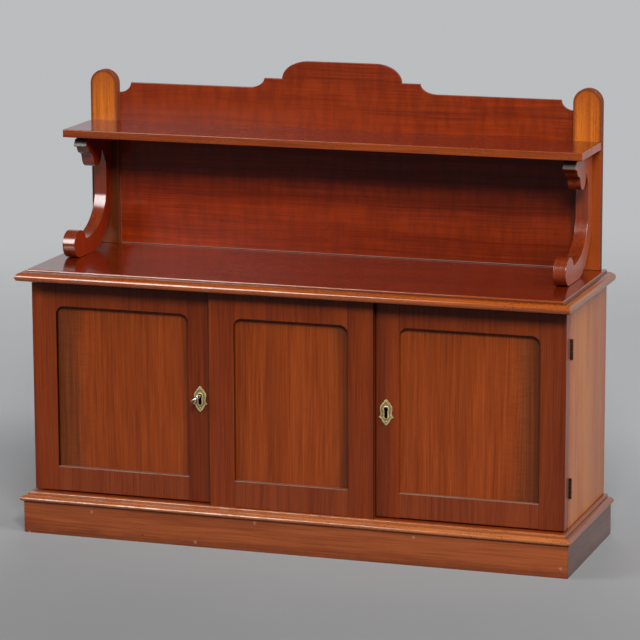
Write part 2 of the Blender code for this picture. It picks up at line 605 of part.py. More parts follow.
def make_hinge(prefix, side, middle, axis):
    """Two notched leaves rolled round one pin. The fixed leaf stays with the carcase."""
    length = HINGE_LENGTH / KNUCKLES
    bottom = middle - HINGE_LENGTH / 2
    knuckle_x = KNUCKLE_RADIUS + FIT
    hole = PIN_RADIUS + PIN_PLAY
    near = LEAF_PLAY / 2
    far = near + LEAF_THICKNESS
    start = 180 - math.degrees(math.asin(near / KNUCKLE_RADIUS))
    end = 540 - math.degrees(math.asin(far / KNUCKLE_RADIUS))
    barrel = arc((knuckle_x, 0), (KNUCKLE_RADIUS, KNUCKLE_RADIUS), start, end, ROUND_SIDES)
    eye = arc((knuckle_x, 0), (hole, hole), 0, 360 - 360 / SMALL_SIDES, SMALL_SIDES - 1)
    rolled = [[(-LEAF_WIDTH, near)] + barrel + [(-LEAF_WIDTH, far)], eye]
    for kind, toward, own in (("fixed_leaf", 1, 0), ("door_leaf", -1, 1)):
        outlines = [[(side * x, toward * y) for x, y in outline] for outline in rolled]
        place = (side * CARCASE_HALF, HINGE_Y, middle)
        leaf = add_outline(f"{prefix}_{kind}", outlines, HINGE_LENGTH, HINGE_BRASS, place)
        for index in range(KNUCKLES):
            if index % 2 != own:
                low = bottom + index * length - (FIT if index else length)
                high = bottom + (index + 1) * length + (FIT if index < KNUCKLES - 1 else length)
                xs = (side * CARCASE_HALF, side * (CARCASE_HALF + 3 * KNUCKLE_RADIUS))
                ys = (HINGE_Y - 2 * KNUCKLE_RADIUS, HINGE_Y + 2 * KNUCKLE_RADIUS)
                notch = add_board(f"{prefix}_{kind}_notch_{index}", xs, ys, (low, high), None)
                cut(leaf, notch)
        if kind == "door_leaf":
            carry(axis, leaf)
    place = (side * HINGE_X, HINGE_Y, middle)
    add_cylinder(f"{prefix}_pin", PIN_RADIUS, HINGE_LENGTH, HINGE_BRASS, place, sides=SMALL_SIDES)


def hinge_mortise(prefix, side, middle):
    """The shallow housing of both leaves, in the door's back and in the edge of the carcase side."""
    reach = LEAF_PLAY / 2 + LEAF_THICKNESS + FIT
    half = HINGE_LENGTH / 2 + FIT
    xs = (side * (CARCASE_HALF - LEAF_WIDTH - FIT), side * (CARCASE_HALF + KNUCKLE_RADIUS))
    ys = (HINGE_Y - reach, HINGE_Y + reach)
    return add_board(f"{prefix}_mortise", xs, ys, (middle - half, middle + half), None)


HINGES = (("upper_hinge", DOOR_TOP_Z - HINGE_TOP_INSET), ("lower_hinge", DOOR_Z + HINGE_BOTTOM_INSET))
HINGE_MORTISES = {
    word: [hinge_mortise(f"{word}_{place}", side, z) for place, z in HINGES] for word, side in SIDES
}


def make_doors():
    zs = (DOOR_Z, DOOR_TOP_Z)
    for word, side in SIDES:
        axis = add_axis(f"{word}_door_axis", (side * HINGE_X, HINGE_Y, DOOR_Z))
        xs = sorted((side * CARCASE_HALF, side * DOOR_FREE_X))
        names = ("hinge_stile", "lock_stile")[::-side]
        widths = (HINGE_STILE, LOCK_STILE)[::-side]
        pieces = make_frame(f"{word}_door", names, xs, zs, DOOR_Y, widths)
        carry(axis, *pieces)
        hinge_stile, lock_stile = pieces[:2][::-side]
        for cutter in HINGE_MORTISES[word]:
            cut(hinge_stile, cutter)
        for place, z in HINGES:
            make_hinge(f"{word}_{place}", side, z, axis)
        make_lock(word, side, lock_stile, axis)
        if side < 0:
            make_key(axis)


def make_centre_frame():
    half = CENTRE_WIDTH / 2
    zs = (FLOOR_Z, TOP_Z - FIT)
    names = ("left_stile", "right_stile")
    make_frame("centre", names, (-half, half), zs, CENTRE_Y, (CENTRE_STILE, CENTRE_STILE))


def crest_outline():
    """Right half of the back board's shaped top edge, from the middle outwards, as (across, rise)."""
    straight = BACK_BOARD_RISE
    ledge = straight + CREST_COVE[1]
    shoulder = CREST_FLAT + CREST_ROUND[0]
    cove_end = shoulder + CREST_LEDGE + CREST_COVE[0]
    half = arc((CREST_FLAT, ledge), CREST_ROUND, 90, 0)
    half += arc((cove_end, ledge), CREST_COVE, 180, 270)
    half += arc((BACK_BOARD_HALF, straight), CREST_END_COVE, 180, 270)
    return half


def make_gallery():
    half = crest_outline()
    outline = half + [(BACK_BOARD_HALF, 0), (-BACK_BOARD_HALF, 0)] + [(-x, y) for x, y in reversed(half)]
    middle = BACK_Y - BACK_BOARD_THICKNESS / 2
    add_outline("back_board", [outline], BACK_BOARD_THICKNESS, POLISHED, (0, middle, GALLERY_Z), FACING)

    end = GALLERY_WIDTH / 2
    notch = UPRIGHT_Y - FIT
    front = UPRIGHT_Y - SHELF_DEPTH
    tongue = BACK_BOARD_Y - FIT
    plan = [(-end, front), (end, front), (end, notch), (BACK_BOARD_HALF, notch), (BACK_BOARD_HALF, tongue)]
    plan += [(-BACK_BOARD_HALF, tongue), (-BACK_BOARD_HALF, notch), (-end, notch)]
    level = SHELF_Z + SHELF_THICKNESS / 2
    soften(add_outline("gallery_shelf", [plan], SHELF_THICKNESS, POLISHED, (0, 0, level)))

    radius = UPRIGHT_WIDTH / 2
    spring = BACK_BOARD_RISE + UPRIGHT_ABOVE - radius
    upright = [(-radius, 0), (radius, 0)] + arc((0, spring), (radius, radius), 0, 180, 2 * ARC_STEPS)
    middle = BACK_Y - UPRIGHT_THICKNESS / 2
    for word, side in SIDES:
        place = (side * UPRIGHT_X, middle, GALLERY_Z)
        soften(add_outline(f"{word}_upright", [upright], UPRIGHT_THICKNESS, POLISHED, place, FACING))
        place = (side * UPRIGHT_X, UPRIGHT_Y - FIT, GALLERY_Z)
        outlines = [bracket_outline()]
        soften(add_outline(f"{word}_bracket", outlines, BRACKET_THICKNESS, POLISHED, place, SIDEWAYS))


def bracket_outline():
    """Side of a scroll bracket, as (reach, height): top and nose, small scroll, bow, foot scroll, back."""
    rise = SHELF_Z - FIT - GALLERY_Z
    nose = SHELF_DEPTH - BRACKET_SETBACK
    span = nose - BRACKET_NECK
    step = (BRACKET_NECK + BRACKET_STEP_SHARE * span, rise - BRACKET_STEP_DROP)
    scroll = (BRACKET_NECK + BRACKET_SCROLL_SHARE * span, rise - BRACKET_SCROLL_DROP)
    scroll_half = (BRACKET_SCROLL_HALF_SHARE * span, BRACKET_SCROLL_HEIGHT)
    notch = (BRACKET_NECK + BRACKET_NOTCH_SHARE * span, rise - BRACKET_NOTCH_DROP)
    foot = (BRACKET_FOOT_REACH - BRACKET_FOOT[0], BRACKET_FOOT[1])
    cusp = foot[0] - BRACKET_FOOT[0] - BRACKET_CUSP_GAP
    bow_half = (cusp - BRACKET_NECK, BRACKET_BOW_RISE - BRACKET_CUSP_RISE)
    heel = cusp - BRACKET_HEEL_SETBACK
    outline = [(0, rise)]
    outline += arc((nose - BRACKET_NOSE[0], rise - BRACKET_NOSE[1]), BRACKET_NOSE, 90, -90)
    outline += [step]
    outline += arc(scroll, scroll_half, 0, -180, 2 * ARC_STEPS)
    outline += [notch]
    outline += arc((cusp, BRACKET_BOW_RISE), bow_half, 180, 270, 2 * ARC_STEPS)
    outline += arc(foot, BRACKET_FOOT, BRACKET_FOOT_START, -90, 2 * ARC_STEPS)
    first, second = [(heel * along, BRACKET_BACK_RISE * up) for along, up in BRACKET_BACK_HANDLES]
    outline += bezier((heel, 0), first, second, (0, BRACKET_BACK_RISE))
    return outline


make_base()
make_carcase()
make_top()
make_centre_frame()
make_doors()
make_gallery()
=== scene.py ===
"""Looks of a small polished mahogany cupboard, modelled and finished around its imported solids."""

import contextlib
import json
import math

import bmesh
import bpy
from mathutils import Matrix, Vector


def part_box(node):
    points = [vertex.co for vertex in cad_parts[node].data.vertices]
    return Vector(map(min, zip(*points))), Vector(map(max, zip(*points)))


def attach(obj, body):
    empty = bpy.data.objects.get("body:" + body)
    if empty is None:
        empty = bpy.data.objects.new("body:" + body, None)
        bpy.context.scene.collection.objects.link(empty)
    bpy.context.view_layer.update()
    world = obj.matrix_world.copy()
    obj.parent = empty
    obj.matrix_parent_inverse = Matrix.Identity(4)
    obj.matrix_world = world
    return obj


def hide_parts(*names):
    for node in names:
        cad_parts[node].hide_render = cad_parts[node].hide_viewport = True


bl_info = {
    "name": "Mahogany Cupboard",
    "version": (1, 0, 0),
    "blender": (4, 5, 0),
    "location": "View3D > Sidebar > Cupboard",
    "description": "Models and finishes a small polished mahogany cupboard around its packed solids",
    "category": "Object",
}

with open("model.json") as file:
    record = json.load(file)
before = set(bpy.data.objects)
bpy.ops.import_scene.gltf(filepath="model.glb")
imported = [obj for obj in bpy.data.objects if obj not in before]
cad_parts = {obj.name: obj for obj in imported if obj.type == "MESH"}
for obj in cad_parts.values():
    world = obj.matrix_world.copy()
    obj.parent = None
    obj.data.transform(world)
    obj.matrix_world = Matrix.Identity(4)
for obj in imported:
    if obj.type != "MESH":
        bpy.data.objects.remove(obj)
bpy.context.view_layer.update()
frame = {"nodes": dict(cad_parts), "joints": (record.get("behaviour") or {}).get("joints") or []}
NODES = frame["nodes"]
JOINTS = {joint["name"]: joint for joint in frame["joints"]}

SIDES = (("left", -1), ("right", 1))
FIT = 0.0003  # gap that the solids leave between pieces that touch
SAME = 0.00002  # two places closer than this are one
SHARP = math.radians(25)
SMOOTH = math.radians(40)
OVERSHOOT = 0.02  # how far a cutter or a length that is trimmed later runs past the piece
LEAF_THICKNESS = 0.0012  # of a hinge's leaves
LEAF_PLAY = 0.0002  # from a leaf's face to the plane of the hinge's pin
FACING = 0.9  # share of an axis in the normal of a face that looks along it

# Record's material slots
POLISHED = "polished_mahogany"
BRASS = "cast_brass"
HINGE = "hinge_brass"
IRON = "lock_iron"
STEEL = "key_steel"


# Settings that a user would change


def length(name, description, default):
    return bpy.props.FloatProperty(
        name=name, description=description, default=default, min=0.0, precision=5, unit="LENGTH"
    )


def colour(name, description, default):
    return bpy.props.FloatVectorProperty(
        name=name, description=description, default=default, size=3, min=0.0, max=1.0, subtype="COLOR"
    )


class CupboardSizes(bpy.types.PropertyGroup):
    """Sizes of edges, mouldings and fittings."""

    arris: length("Arris", "Rounding along the edges of boards", 0.0009)
    opening_arris: length("Opening arris", "Rounding of a frame's edge round its panel", 0.0013)
    worn_corner: length("Worn corner", "Rounding of the plinth's knocked lower corner", 0.005)
    corner_radius: length("Corner radius", "Round of a frame's two upper corners", 0.013)
    field_depth: length("Escutcheon field", "Depth of an escutcheon's field below its rim", 0.0009)
    knuckle_gap: length("Knuckle gap", "Gap between the knuckles of a hinge", 0.00025)
    screw_radius: length("Screw radius", "Radius of a hinge screw's head", 0.0021)


class CupboardColours(bpy.types.PropertyGroup):
    """Middle colours of the woods and metals."""

    frame_wood: colour("Frames", "Stiles and rails", (0.157, 0.0230, 0.0034))
    panel_wood: colour("Panels", "Door and centre panels", (0.217, 0.0365, 0.0045))
    top_wood: colour("Top", "Top board and shelf", (0.128, 0.0100, 0.0006))
    edge_wood: colour("Mouldings", "Edge of the top and base moulding", (0.292, 0.0560, 0.0055))
    plinth_wood: colour("Plinth", "Plinth boards", (0.235, 0.0530, 0.0140))
    side_wood: colour("Sides", "Sides of the carcase", (0.455, 0.134, 0.039))
    back_wood: colour("Back board", "Shaped back board", (0.172, 0.0175, 0.0016))
    upright_wood: colour("Uprights", "Round-topped uprights", (0.440, 0.110, 0.0110))
    bracket_wood: colour("Brackets", "Scroll brackets", (0.170, 0.024, 0.0045))
    # greyer than the frames: painted sheen on the edges
    door_edge_wood: colour("Door edges", "Hinge edges of the doors", (0.225, 0.062, 0.038))
    softwood: colour("Softwood", "Unseen boards", (0.330, 0.190, 0.090))
    brass: colour("Cast brass", "Escutcheons", (0.720, 0.575, 0.275))
    dark_brass: colour("Hinge brass", "Hinges, darkened", (0.110, 0.066, 0.034))
    iron: colour("Iron", "Lock cases and bolts", (0.190, 0.180, 0.170))
    steel: colour("Steel", "Key", (0.780, 0.760, 0.730))


# Finishes

RAIL_HEIGHT = 0.0344  # of a door's top rail, above its panel
CENTRE_RAIL_HEIGHT = 0.0405  # of the centre frame's top rail, above its panel
CENTRE_SILL_LIFT = 0.0032  # of the centre frame's sill, above its bottom rail's solid
THUMB_RISE = 0.0132  # of the thumb on the top board's edge, above the board's underside
PAINTED_SHADE = (0.052, 0.010, 0.0045)  # that the lock stiles and the centre frame darken to
PLINTH_MARKS = (  # pale spots and dark pits: scale of the pattern, size, strength and colour
    (11.0, 0.040, 0.3, (0.60, 0.34, 0.22)),
    (7.0, 0.014, 0.8, (0.03, 0.008, 0.004)),
)
# stiles whose edges give the panels' right sides, down which shade is painted
PANEL_BORDERS = (("centre_right_stile", 0), ("right_door_lock_stile", 1), ("right_door_hinge_stile", 0))


class Field:
    """A socket of a finish. Arithmetic on it adds Math nodes."""

    def __init__(self, finish, socket):
        self.finish = finish
        self.socket = socket

    def __add__(self, other):
        return self.finish.math("ADD", self, other)

    def __sub__(self, other):
        return self.finish.math("SUBTRACT", self, other)

    def __rsub__(self, other):
        return self.finish.math("SUBTRACT", other, self)

    def __mul__(self, other):
        return self.finish.math("MULTIPLY", self, other)

    def __abs__(self):
        return self.finish.math("ABSOLUTE", self, 0.0)

    __radd__ = __add__
    __rmul__ = __mul__


class Finish:
    """A material, or a world, made of nodes."""

    def __init__(self, name, shader="Principled BSDF", kind="materials"):
        self.material = getattr(bpy.data, kind).new(name)
        self.material.use_nodes = True
        self.tree = self.material.node_tree
        self.shader = self.tree.nodes[shader]

    def node(self, kind, settings=None, sockets=None, output=0):
        """Any node: its type, its settings, which are set first, and the values or links of its sockets."""
        made = self.tree.nodes.new(kind)
        for key, value in (settings or {}).items():
            if key == "stops":
                first, *others = value
                made.color_ramp.elements.remove(made.color_ramp.elements[1])
                made.color_ramp.elements[0].position = first[0]
                made.color_ramp.elements[0].color = first[1]
                for place, tint in others:
                    made.color_ramp.elements.new(place).color = tint
            else:
                setattr(made, key, value)
        self.fill(made, sockets or {})
        return Field(self, made.outputs[output])

    def fill(self, made, sockets):
        for key, value in sockets.items():
            if isinstance(value, Field):
                self.tree.links.new(value.socket, made.inputs[key])
            else:
                made.inputs[key].default_value = value

    def surface(self, **sockets):
        """Values and links of the shader itself, by its sockets' names with _ for each space."""
        named = {key.replace("_", " "): value for key, value in sockets.items()}
        self.fill(self.shader, named)

    def math(self, operation, first, second):
        return self.node("ShaderNodeMath", {"operation": operation}, {0: first, 1: second})

    def vector(self, operation, first, second):
        return self.node("ShaderNodeVectorMath", {"operation": operation}, {0: first, 1: second})

    def blend(self, factor, first, second, mode="MIX"):
        """Two colours mixed."""
        settings = {"data_type": "RGBA", "blend_type": mode}
        tints = [tint if isinstance(tint, Field) else (*tint, 1.0) for tint in (first, second)]
        return self.node("ShaderNodeMix", settings, {0: factor, 6: tints[0], 7: tints[1]}, output=2)

    def times(self, paint, factors):
        """A colour times one factor for each channel."""
        return self.blend(1.0, paint, factors, "MULTIPLY")

    def place(self):
        return self.node("ShaderNodeTexCoord", output="Object")

    def shown(self):
        """1 where the camera sees a surface, straight, mirrored or through glass, and else 0."""
        rays = ("Is Camera Ray", "Is Glossy Ray", "Is Transmission Ray")
        camera, glossy, through = (self.node("ShaderNodeLightPath", output=ray) for ray in rays)
        return camera + glossy + through

    def part(self, vector, axis):
        return self.node("ShaderNodeSeparateXYZ", None, {0: vector}, output="XYZ".index(axis))

    def stretch(self, vector, scale, shift=(0, 0, 0)):
        return self.node("ShaderNodeMapping", None, {"Vector": vector, "Location": shift, "Scale": scale})

    def noise(self, vector, scale, detail, roughness=0.5, output="Fac"):
        sockets = {"Vector": vector, "Scale": scale, "Detail": detail, "Roughness": roughness}
        return self.node("ShaderNodeTexNoise", None, sockets, output=output)

    def wander(self, place, scale, reach):
        """A place moved about by noise, so that the grain doesn't run dead straight."""
        drift = self.vector("SUBTRACT", self.noise(place, scale, 2.0, output="Color"), (0.5, 0.5, 0.5))
        return self.vector("ADD", place, self.vector("MULTIPLY", drift, (reach, reach, reach)))

    def ramp(self, value, low, high, start=0.0, end=1.0):
        """A value's span from low to high, turned smoothly into the span from start to end."""
        sockets = {"Value": value, "From Min": low, "From Max": high, "To Min": start, "To Max": end}
        return self.node("ShaderNodeMapRange", {"interpolation_type": "SMOOTHSTEP"}, sockets)

    def bump(self, height, distance, strength):
        sockets = {"Strength": strength, "Distance": distance, "Height": height}
        return self.node("ShaderNodeBump", None, sockets)


def shade(tint, *factors):
    """A colour times one factor, or times one for each channel."""
    factors = factors if len(factors) == 3 else factors * 3
    return tuple(min(1.0, channel * factor) for channel, factor in zip(tint, factors))


def along(grain, lengthwise, across=1.0):
    """Scale of a pattern that is drawn out along the grain."""
    return tuple(lengthwise if axis == grain else across for axis in "XYZ")


def wood(name, tint, grain, streaks=1.0, bands=1.0, pores=0.35, figure=0.0, gloss=0.34, coat=0.18,
         coat_roughness=0.12, coat_ior=1.5, patchy=0.0, shift=(0, 0, 0), local=None):
    """Polished mahogany: bands, streaks, fibres and pores drawn out along the grain, under a clear polish.
    patchy is the share of the polish that has worn off in patches, and local changes the colour by place."""
    f = Finish(name)
    place = f.place()
    place_on_board = f.wander(place, 4.0, 0.010)
    band = f.noise(f.stretch(place_on_board, along(grain, 0.04), shift), 20.0, 2.0)
    streak = f.noise(f.stretch(place_on_board, along(grain, 0.022), shift), 170.0, 4.0, 0.68)
    fibre = f.noise(f.stretch(place_on_board, along(grain, 0.016), shift), 620.0, 2.0)
    pore = f.noise(f.stretch(place, along(grain, 0.07), shift), 1500.0, 1.0)
    pore = f.ramp(pore, 0.60, 0.74)
    tone = (band - 0.5) * (1.5 * bands) + (streak - 0.5) * (1.25 * streaks) + (fibre - 0.5) * 1.5 + 0.5
    dark = shade(tint, 0.66, 0.56, 0.50)
    light = shade(tint, 1.30, 1.42, 1.50)
    paint = f.blend(tone, dark, light)
    if figure:
        ripple = f.noise(f.stretch(place_on_board, along(grain, 2.2, 0.5), shift), 32.0, 3.0, 0.6)
        paint = f.blend(f.ramp(ripple, 0.35, 0.68, 0.0, figure), paint, shade(tint, 0.45, 0.38, 0.34))
    paint = f.blend(pore * (0.55 * pores), paint, shade(tint, 0.20, 0.15, 0.14))
    if local:
        paint = local(f, place, paint)
    if patchy:
        coat = f.ramp(f.noise(place, 75.0, 3.0, 0.6), 0.40, 0.60, coat, coat * (1 - patchy))
    smear = f.noise(place, 14.0, 3.0)
    relief = fibre * 0.35 - pore * 0.6 + f.noise(place, 60.0, 2.0) * 0.5
    f.surface(
        Base_Color=paint,
        Roughness=(smear - 0.5) * 0.16 + pore * 0.15 + gloss,
        Normal=f.bump(relief, 0.00025, 0.35),
        Specular_IOR_Level=0.14,
        Coat_Weight=coat,
        Coat_Roughness=coat_roughness,
        Coat_IOR=coat_ior,
    )
    return f.material


def softwood(name, tint, grain):
    """Bare pine or deal, darkened by age, with soft rings and a few darker blotches."""
    f = Finish(name)
    place = f.wander(f.place(), 3.0, 0.03)
    rings = f.noise(f.stretch(place, along(grain, 0.05)), 90.0, 3.0)
    fibre = f.noise(f.stretch(place, along(grain, 0.03)), 900.0, 2.0)
    stain = f.noise(place, 9.0, 3.0)
    tone = (rings - 0.5) * 2.0 + (fibre - 0.5) * 0.8 + 0.5
    paint = f.blend(tone, shade(tint, 0.70, 0.62, 0.52), shade(tint, 1.16, 1.18, 1.20))
    paint = f.blend(f.ramp(stain, 0.5, 0.75, 0.0, 0.5), paint, shade(tint, 0.45))
    f.surface(Base_Color=paint, Roughness=0.62 + fibre * 0.2, Normal=f.bump(fibre + rings * 0.5, 0.0004, 0.5))
    return f.material


def metal(name, tint, dull, rough, grain=260.0, metallic=1.0):
    """Aged metal: worn patches between dull ones, fine scratches and a slightly uneven face."""
    f = Finish(name)
    place = f.place()
    patch = f.noise(place, grain, 4.0, 0.62)
    fine = f.noise(place, grain * 7, 2.0)
    paint = f.blend(f.ramp(patch, 0.36, 0.64), shade(tint, *dull), tint)
    f.surface(
        Base_Color=paint,
        Metallic=metallic,
        Roughness=f.ramp(patch, 0.3, 0.7, rough + 0.16, rough) + (fine - 0.5) * 0.12,
        Normal=f.bump(patch * 0.8 + fine * 0.2, 0.0001, 0.6),
    )
    return f.material


def panel_tones(f, place, paint):
    """The door panels are browner and faintly rippled towards their hinge stiles. Every panel has a painted
    shadow line under its head and painted shade down its right side."""
    x = f.part(place, "X")
    across = abs(x)
    height = f.part(place, "Z")
    waver = f.noise(f.stretch(place, (1, 1, 0.2)), 30.0, 2.0)
    edge = f.ramp(across + (waver - 0.5) * 0.03, 0.326, 0.356, 0.0, 0.95)
    paint = f.blend(edge, paint, f.times(paint, (0.60, 0.74, 1.2)))
    ripple = f.ramp(f.noise(f.stretch(place, (0.15, 1, 1)), 330.0, 2.0), 0.5, 0.7, 0.0, 0.3)
    paint = f.blend(ripple * f.ramp(across, 0.30, 0.35), paint, (0.075, 0.018, 0.005))
    centre, near, far = (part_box(node)[end].x for node, end in PANEL_BORDERS)
    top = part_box("centre_top_rail")[1].z
    head = f.ramp(across, centre, near, top - CENTRE_RAIL_HEIGHT, top - RAIL_HEIGHT)
    olive = f.ramp(waver, 0.42, 0.60, 0.0, 0.55)
    olive = olive * f.ramp(abs(x - (centre - 0.017)), 0.010, 0.024, 1.0, 0.0)
    paint = f.blend(olive, paint, (0.098, 0.026, 0.0070))
    # Painted shade: a shadow line under each panel's head and a shade down each panel's right side.
    dark = f.ramp(head - height, 0.0012, 0.0036, 0.5, 0.0)
    for right, width, depth in ((-near, 0.018, 0.55), (centre, 0.026, 0.62), (far, 0.016, 0.68)):
        dark = f.math("MAXIMUM", dark, f.ramp(abs(x - right), 0.0, width, depth, 0.0))
    return f.blend(dark, paint, (0.045, 0.010, 0.003))


def lock_stile_tones(f, place, paint):
    """Painted shade darkens a lock stile towards the centre frame."""
    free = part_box("right_door_lock_stile")[0].x
    dark = f.ramp(abs(f.part(place, "X")), free + 0.002, free + 0.016, 0.38, 0.0)
    return f.blend(dark, paint, PAINTED_SHADE)


def centre_stile_tones(f, place, paint):
    """Painted shade darkens the centre frame towards its right side."""
    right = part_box("centre_right_stile")[1].x
    return f.blend(f.ramp(f.part(place, "X"), right - 0.011, right, 0.0, 0.4), paint, PAINTED_SHADE)


def arris_line(f, place, paint):
    """A painted shadow line down the front arris of the centre frame's sides."""
    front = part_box("centre_right_stile")[0].y
    dark = f.ramp(f.part(place, "Y"), front + 0.0025, front + 0.0045, 0.85, 0.0)
    return f.blend(dark, paint, (0.014, 0.004, 0.002))


def back_tones(f, place, paint):
    """The back board has painted light at its lower left and painted shade at its lower right, with a pale
    painted highlight line along its foot on the top and down its ends by the uprights."""
    low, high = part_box("back_board")
    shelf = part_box("gallery_shelf")[0].z
    below = f.ramp(f.part(place, "Z"), shelf - 0.10, shelf, 1.0, 0.0)
    left = f.ramp(f.part(place, "X"), -0.28, 0.34, 1.0, 0.0)
    lit = f.blend(left, f.times(paint, (0.88, 0.84, 0.8)), f.times(paint, (1.42, 1.30, 1.2)))
    paint = f.blend(below, paint, lit)
    # A pale painted highlight along the board's foot and its ends.
    joint = f.ramp(f.part(place, "Z"), low.z + 0.0008, low.z + 0.0016, 0.45, 0.0)
    ends = f.ramp(abs(f.part(place, "X")), high.x - 0.0012, high.x - 0.0006, 0.0, 0.3)
    return f.blend(f.math("MAXIMUM", joint, ends), paint, (0.42, 0.30, 0.24))


def upright_tones(f, place, paint):
    """The uprights are bleached to gold above the shelf, but for their rims. Below it the left one has
    painted shade and the right one is red, and both have painted shade behind the brackets."""
    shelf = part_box("gallery_shelf")[0].z
    x, height = f.part(place, "X"), f.part(place, "Z")
    below = f.ramp(height, shelf - 0.002, shelf + 0.010, 1.0, 0.0)
    behind = f.ramp(abs(x), 0.374, 0.379, 1.0, 0.0)
    streak = f.noise(f.stretch(place, (1, 1, 0.05)), 60.0, 2.0)
    cover = f.ramp(streak, 0.44, 0.60, 0.97, f.ramp(x, -0.2, 0.2, 0.94, 0.55))
    mask = below * f.math("MAXIMUM", behind, cover)
    red = f.ramp(x, -0.2, 0.2) * (1.0 - behind)
    low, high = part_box("right_upright")
    half = (high.x - low.x) / 2
    out = abs(x) - (low.x + half)
    up = f.math("MAXIMUM", height - (high.z - half), 0.0)
    rim = f.ramp(f.math("SQRT", out * out + up * up, 0.0), half - 0.0062, half - 0.0012, 0.0, 0.75)
    front = f.ramp(f.part(place, "Y"), low.y + 0.001, low.y + 0.004, 1.0, 0.0)
    fleck = f.noise(f.stretch(place, (1, 1, 0.3)), 520.0, 2.0)
    paint = f.blend(f.ramp(fleck, 0.60, 0.70, 0.0, 0.5), paint, (0.16, 0.030, 0.004))
    paint = f.blend(f.ramp(height, high.z - 0.060, high.z, 0.0, 0.65), paint, (0.26, 0.050, 0.006))
    paint = f.blend(rim * front, paint, (0.085, 0.018, 0.005))
    # Painted shade below the shelf on the left upright, and behind the brackets on both.
    return f.blend(mask * front, paint, f.blend(red, (0.095, 0.019, 0.004), (0.24, 0.042, 0.006)))


def side_stripes(f, place, paint):
    """Broad golden and pinkish stripes up the sides."""
    stripe = f.noise(f.stretch(place, (1, 1, 0.05)), 30.0, 1.0)
    paint = f.blend(f.ramp(stripe, 0.48, 0.66, 0.0, 0.45), paint, (0.54, 0.21, 0.055))
    paint = f.blend(f.ramp(stripe, 0.34, 0.50, 0.5, 0.0), paint, (0.40, 0.115, 0.048))
    return f.blend(f.ramp(f.part(place, "Y"), 0.0, 0.13, 0.0, 0.4), paint, (0.34, 0.125, 0.068))


def quirk_line(f, place, paint):
    """Flecks, a darker fillet, and a painted shadow line in the quirk under the fillet of the top's edge."""
    height = f.part(place, "Z") - (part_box("moulded_top")[0].z + THUMB_RISE)
    line = f.ramp(abs(height - 0.0003), 0.0005, 0.0009, 0.75, 0.0)
    paint = edge_flecks(f, place, paint)
    paint = f.blend(f.ramp(height, 0.0008, 0.0014, 0.0, 0.5), paint, (0.120, 0.016, 0.002))
    return f.blend(line, paint, (0.030, 0.006, 0.002))


def plinth_marks(f, place, paint):
    """Pale rubbed spots and a few dark pits along the plinth's front, over its grime."""
    paint = plinth_grime(f, place, paint)
    ragged = f.noise(place, 300.0, 2.0) - 0.5
    flat = f.node("ShaderNodeCombineXYZ", None, {0: f.part(place, "X"), 1: f.part(place, "Z")})
    for scale, size, strength, tint in PLINTH_MARKS:
        sockets = {"Vector": flat, "Scale": scale}
        spots = f.node("ShaderNodeTexVoronoi", {"voronoi_dimensions": "2D"}, sockets, output="Distance")
        paint = f.blend(f.ramp(spots + ragged * size, 0.2 * size, size, strength, 0.0), paint, tint)
    return paint


def plinth_grime(f, place, paint):
    """Grime low on the plinth."""
    height = f.part(place, "Z")
    scuff = f.noise(f.stretch(place, (0.4, 0.4, 1)), 55.0, 4.0, 0.7)
    return f.blend(f.ramp(height + (scuff - 0.5) * 0.03, 0.0, 0.014, 0.5, 0.0), paint, (0.09, 0.022, 0.008))


def edge_flecks(f, place, paint):
    """Dark flecks where the polish has worn into the pores of the mouldings."""
    fleck = f.noise(f.stretch(place, (0.5, 0.5, 1)), 620.0, 3.0, 0.7)
    worn = f.noise(place, 16.0, 2.0)
    mask = f.ramp(fleck, 0.53, 0.64) * f.ramp(worn, 0.34, 0.56)
    return f.blend(mask * 0.7, paint, (0.050, 0.013, 0.005))


MATERIALS = {}


